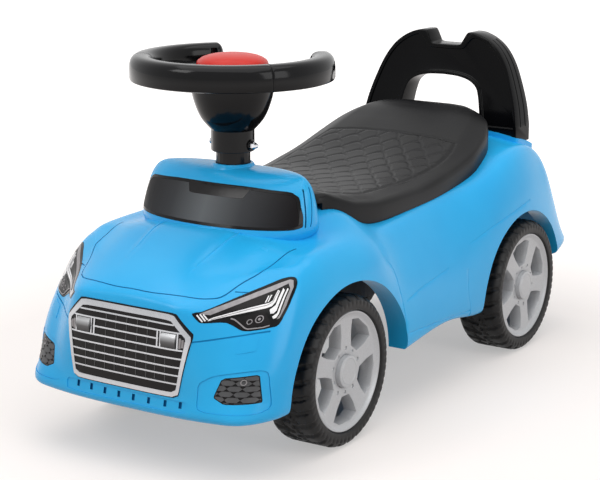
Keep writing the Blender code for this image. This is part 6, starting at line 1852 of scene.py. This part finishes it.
SEAM_TIP = [(0.35, 0.985), (0.6, 0.94)]
ROUND_TIP = [(1.6, 0.985), (3.1, 0.94), (4.6, 0.86), (6.0, 0.73), (7.2, 0.55), (8.0, 0.30)]
SEAM_DEG = 0.45
GRIP_SEAM_DEG = 0.1
NOTCH_FROM_END_DEG = 3.0
NOTCH_STAND_OFF = 0.0005
SPOKE_OVERLAP = (0.001, 0.004)
front_arc = rim_arc("front_arc", -180 - GRIP_START_DEG + SEAM_DEG, GRIP_START_DEG - SEAM_DEG, 80,
                    (SEAM_TIP, SEAM_TIP))
SPOKE_FOOT_Z = WHEEL_BOTTOM_Z + 0.003
SPOKE_TOP_Z = WHEEL_BOTTOM_Z + 0.0115
ring = spun("button_ring", [
    (BOWL_RADIUS - 0.0012, SPOKE_TOP_Z), (BOWL_RADIUS - 0.0003, SPOKE_TOP_Z - 0.0004),
    (BOWL_RADIUS, SPOKE_TOP_Z - 0.0014), (BOWL_RADIUS, WHEEL_BOTTOM_Z), (0.030, WHEEL_BOTTOM_Z),
    (0.030, SPOKE_FOOT_Z), (BUTTON_RADIUS + 0.0005, SPOKE_FOOT_Z),
    (BUTTON_RADIUS + 0.0005, SPOKE_TOP_Z - 0.0008), (BUTTON_RADIUS + 0.0012, SPOKE_TOP_Z),
], COLUMN_PLACE, "z", 96)
inner_radius = WHEEL_RADIUS - WHEEL_SECTION
spokes = []
for side in (1, -1):
    low, high = span(side, BOWL_RADIUS - SPOKE_OVERLAP[0], inner_radius + SPOKE_OVERLAP[1])
    spoke = block("spoke", (low, COLUMN_PLACE[1] - SPOKE_HALF, SPOKE_FOOT_Z),
                  (high, COLUMN_PLACE[1] + SPOKE_HALF, SPOKE_FOOT_Z + SPOKE_THICKNESS))
    spokes.append(round_edges(spoke, 0.0018, 4))
wheel_piece = join([front_arc, ring] + spokes)
wheel_piece.name = "steering_rim_and_spokes"
finish_piece(wheel_piece, gloss_black, "steering", ["steering_wheel"], 40)

# %% Grips with rounded ends and a notch inside
grip = rim_arc("grip_dressed_left", GRIP_START_DEG + GRIP_SEAM_DEG, GRIP_END_DEG, 56,
               (SEAM_TIP[:1], ROUND_TIP))
notch_turn = math.radians(GRIP_END_DEG - NOTCH_FROM_END_DEG)
notch_reach = inner_radius + NOTCH_STAND_OFF
notch = spun("notch", [(0, 0.010), (0.0034, 0.010), (0.0030, -0.006), (0, -0.006)],
             (notch_reach * math.cos(notch_turn), COLUMN_PLACE[1] + notch_reach * math.sin(notch_turn),
              WHEEL_BOTTOM_Z + 0.0100), "z", 20)
combine(grip, [notch], "DIFFERENCE")
finish_pair(grip, gloss_black, "steering", ["grip"], 40)

# %% Bowl, sleeve and button
BOWL_HEIGHT = 0.047
BOWL_BOTTOM_Z = WHEEL_BOTTOM_Z - BOWL_HEIGHT
SLEEVE_RADIUS = 0.0205
SLEEVE_BOTTOM_Z = BOWL_BOTTOM_Z - 0.021
BOLT_Z = SLEEVE_BOTTOM_Z + 0.0065
BOWL_WALL = 0.0025
BOWL_FLOOR_Z = BOWL_BOTTOM_Z + BOWL_WALL
BOWL_ROOM_FROM_Z = BOWL_BOTTOM_Z + 0.0035
BOWL_LIP_GAP = 0.0003
BORE_CLEARANCE = 0.0003
BOWL_SECTION = [(0.0, 0.05), (0.117, 0.30), (0.234, 0.50), (0.447, 0.725), (0.702, 0.90), (1.0, 1.0)]


def bowl_line(inset, steps):
    """The bowl's outline from the sleeve up to its lip, drawn in by a wall."""
    line = []
    for step in range(steps + 1):
        up = step / steps
        across = smooth_value(BOWL_SECTION, up)
        line.append((SLEEVE_RADIUS + across * (BOWL_RADIUS - SLEEVE_RADIUS) - inset,
                     BOWL_BOTTOM_Z + up * (BOWL_HEIGHT - BOWL_LIP_GAP)))
    return line


inside = [(radius, z) for radius, z in bowl_line(BOWL_WALL, 20) if z > BOWL_ROOM_FROM_Z]
bore = COLUMN_RADIUS + BORE_CLEARANCE
bowl = spun("hub_bowl_turned", [
    (0, BOWL_FLOOR_Z), (SLEEVE_RADIUS - 0.002, BOWL_FLOOR_Z), *inside, *bowl_line(0.0, 28)[::-1],
    (SLEEVE_RADIUS, BOWL_BOTTOM_Z - 0.001), (SLEEVE_RADIUS, SLEEVE_BOTTOM_Z + 0.0005),
    (SLEEVE_RADIUS - 0.0005, SLEEVE_BOTTOM_Z), (bore + 0.0003, SLEEVE_BOTTOM_Z),
    (bore, SLEEVE_BOTTOM_Z + 0.0003), (bore, BOWL_BOTTOM_Z), (0, BOWL_BOTTOM_Z),
], COLUMN_PLACE, "z", 96)
tab = block("tab", (-SLEEVE_RADIUS - 0.003, COLUMN_PLACE[1] - 0.004, SLEEVE_BOTTOM_Z - 0.002),
            (-SLEEVE_RADIUS + 0.0015, COLUMN_PLACE[1] + 0.004, BOWL_BOTTOM_Z))
tab = round_edges(tab, 0.0009, 3)
pad = spun("pad", [
    (0, SLEEVE_RADIUS + 0.0012), (0.0050, SLEEVE_RADIUS + 0.0012), (0.0055, SLEEVE_RADIUS + 0.0007),
    (0.0055, SLEEVE_RADIUS - 0.002), (0, SLEEVE_RADIUS - 0.002),
], (0, COLUMN_PLACE[1], BOLT_Z), "x", 32)
combine(bowl, [tab, pad], "UNION")
finish_piece(bowl, gloss_black, "steering", ["hub_bowl"], 35)

BUTTON_TOP_Z = 0.3605
BUTTON_WALL = 0.002
BUTTON_DOME = [(0.0, 0.0), (0.008, 0.00022), (0.014, 0.0007), (0.020, 0.0016), (0.025, 0.0028),
               (0.029, 0.0044), (0.032, 0.0064), (0.0335, 0.0082), (BUTTON_RADIUS, 0.0100)]
BUTTON_BACK = [(BUTTON_RADIUS, 0.0145), (BUTTON_RADIUS - BUTTON_WALL, 0.0145),
               (BUTTON_RADIUS - BUTTON_WALL, 0.0105), (0.010, 0.0045), (0, 0.0045)]
button_line = [(radius, BUTTON_TOP_Z - drop) for radius, drop in BUTTON_DOME + BUTTON_BACK]
button = spun("horn_button_turned", button_line, COLUMN_PLACE, "z", 96)
finish_piece(button, signal_red, "horn", ["horn_button"], 35)

# %% Domed nut
NUT_LOW = SLEEVE_RADIUS + 0.0015
NUT_LINE = [(0, 0.0070), (0.0012, 0.0068), (0.0022, 0.0060), (0.0028, 0.0048), (0.0030, 0.0034),
            (0.0040, 0.0028), (0.0042, 0.0024), (0.0042, 0), (0, 0)]
nut = spun("acorn_nut_turned", [(radius, NUT_LOW + reach) for radius, reach in NUT_LINE],
           (0, COLUMN_PLACE[1], BOLT_Z), "x", 6)
nut = subdivide(round_edges(nut, 0.0003, 2, 20), 1)
finish_piece(nut, zinc_steel, "steering", ["acorn_nut"], 30)

# %% [markdown]
# The pieces that are already the right shape stay as they are in the CAD, and only get their finish:
# the column's tube, the beams, the steering linkage, the axles, the clips and the screws.

# %% Finishes of the CAD pieces that stay
SLOT_FINISHES = {
    "sky_blue_shell": sky_blue, "seat_black": satin_black, "gloss_black": gloss_black,
    "horn_red": signal_red, "tyre_black": tyre_black, "rim_grey": silver_grey, "grille_foil": foil_black,
    "lamp_foil": foil_grey, "vent_black": vent_black, "screen_foil": screen_foil,
    "underbody_grey": under_grey, "zinc_steel": zinc_steel,
}
slot_of_node = {part["node"]: part["material_slot"] for part in frame["record"]["subparts"]}
for name, node in nodes.items():
    node.data.materials.clear()
    node.data.materials.append(SLOT_FINISHES[slot_of_node[name]])
print("CAD pieces finished:", len(nodes))
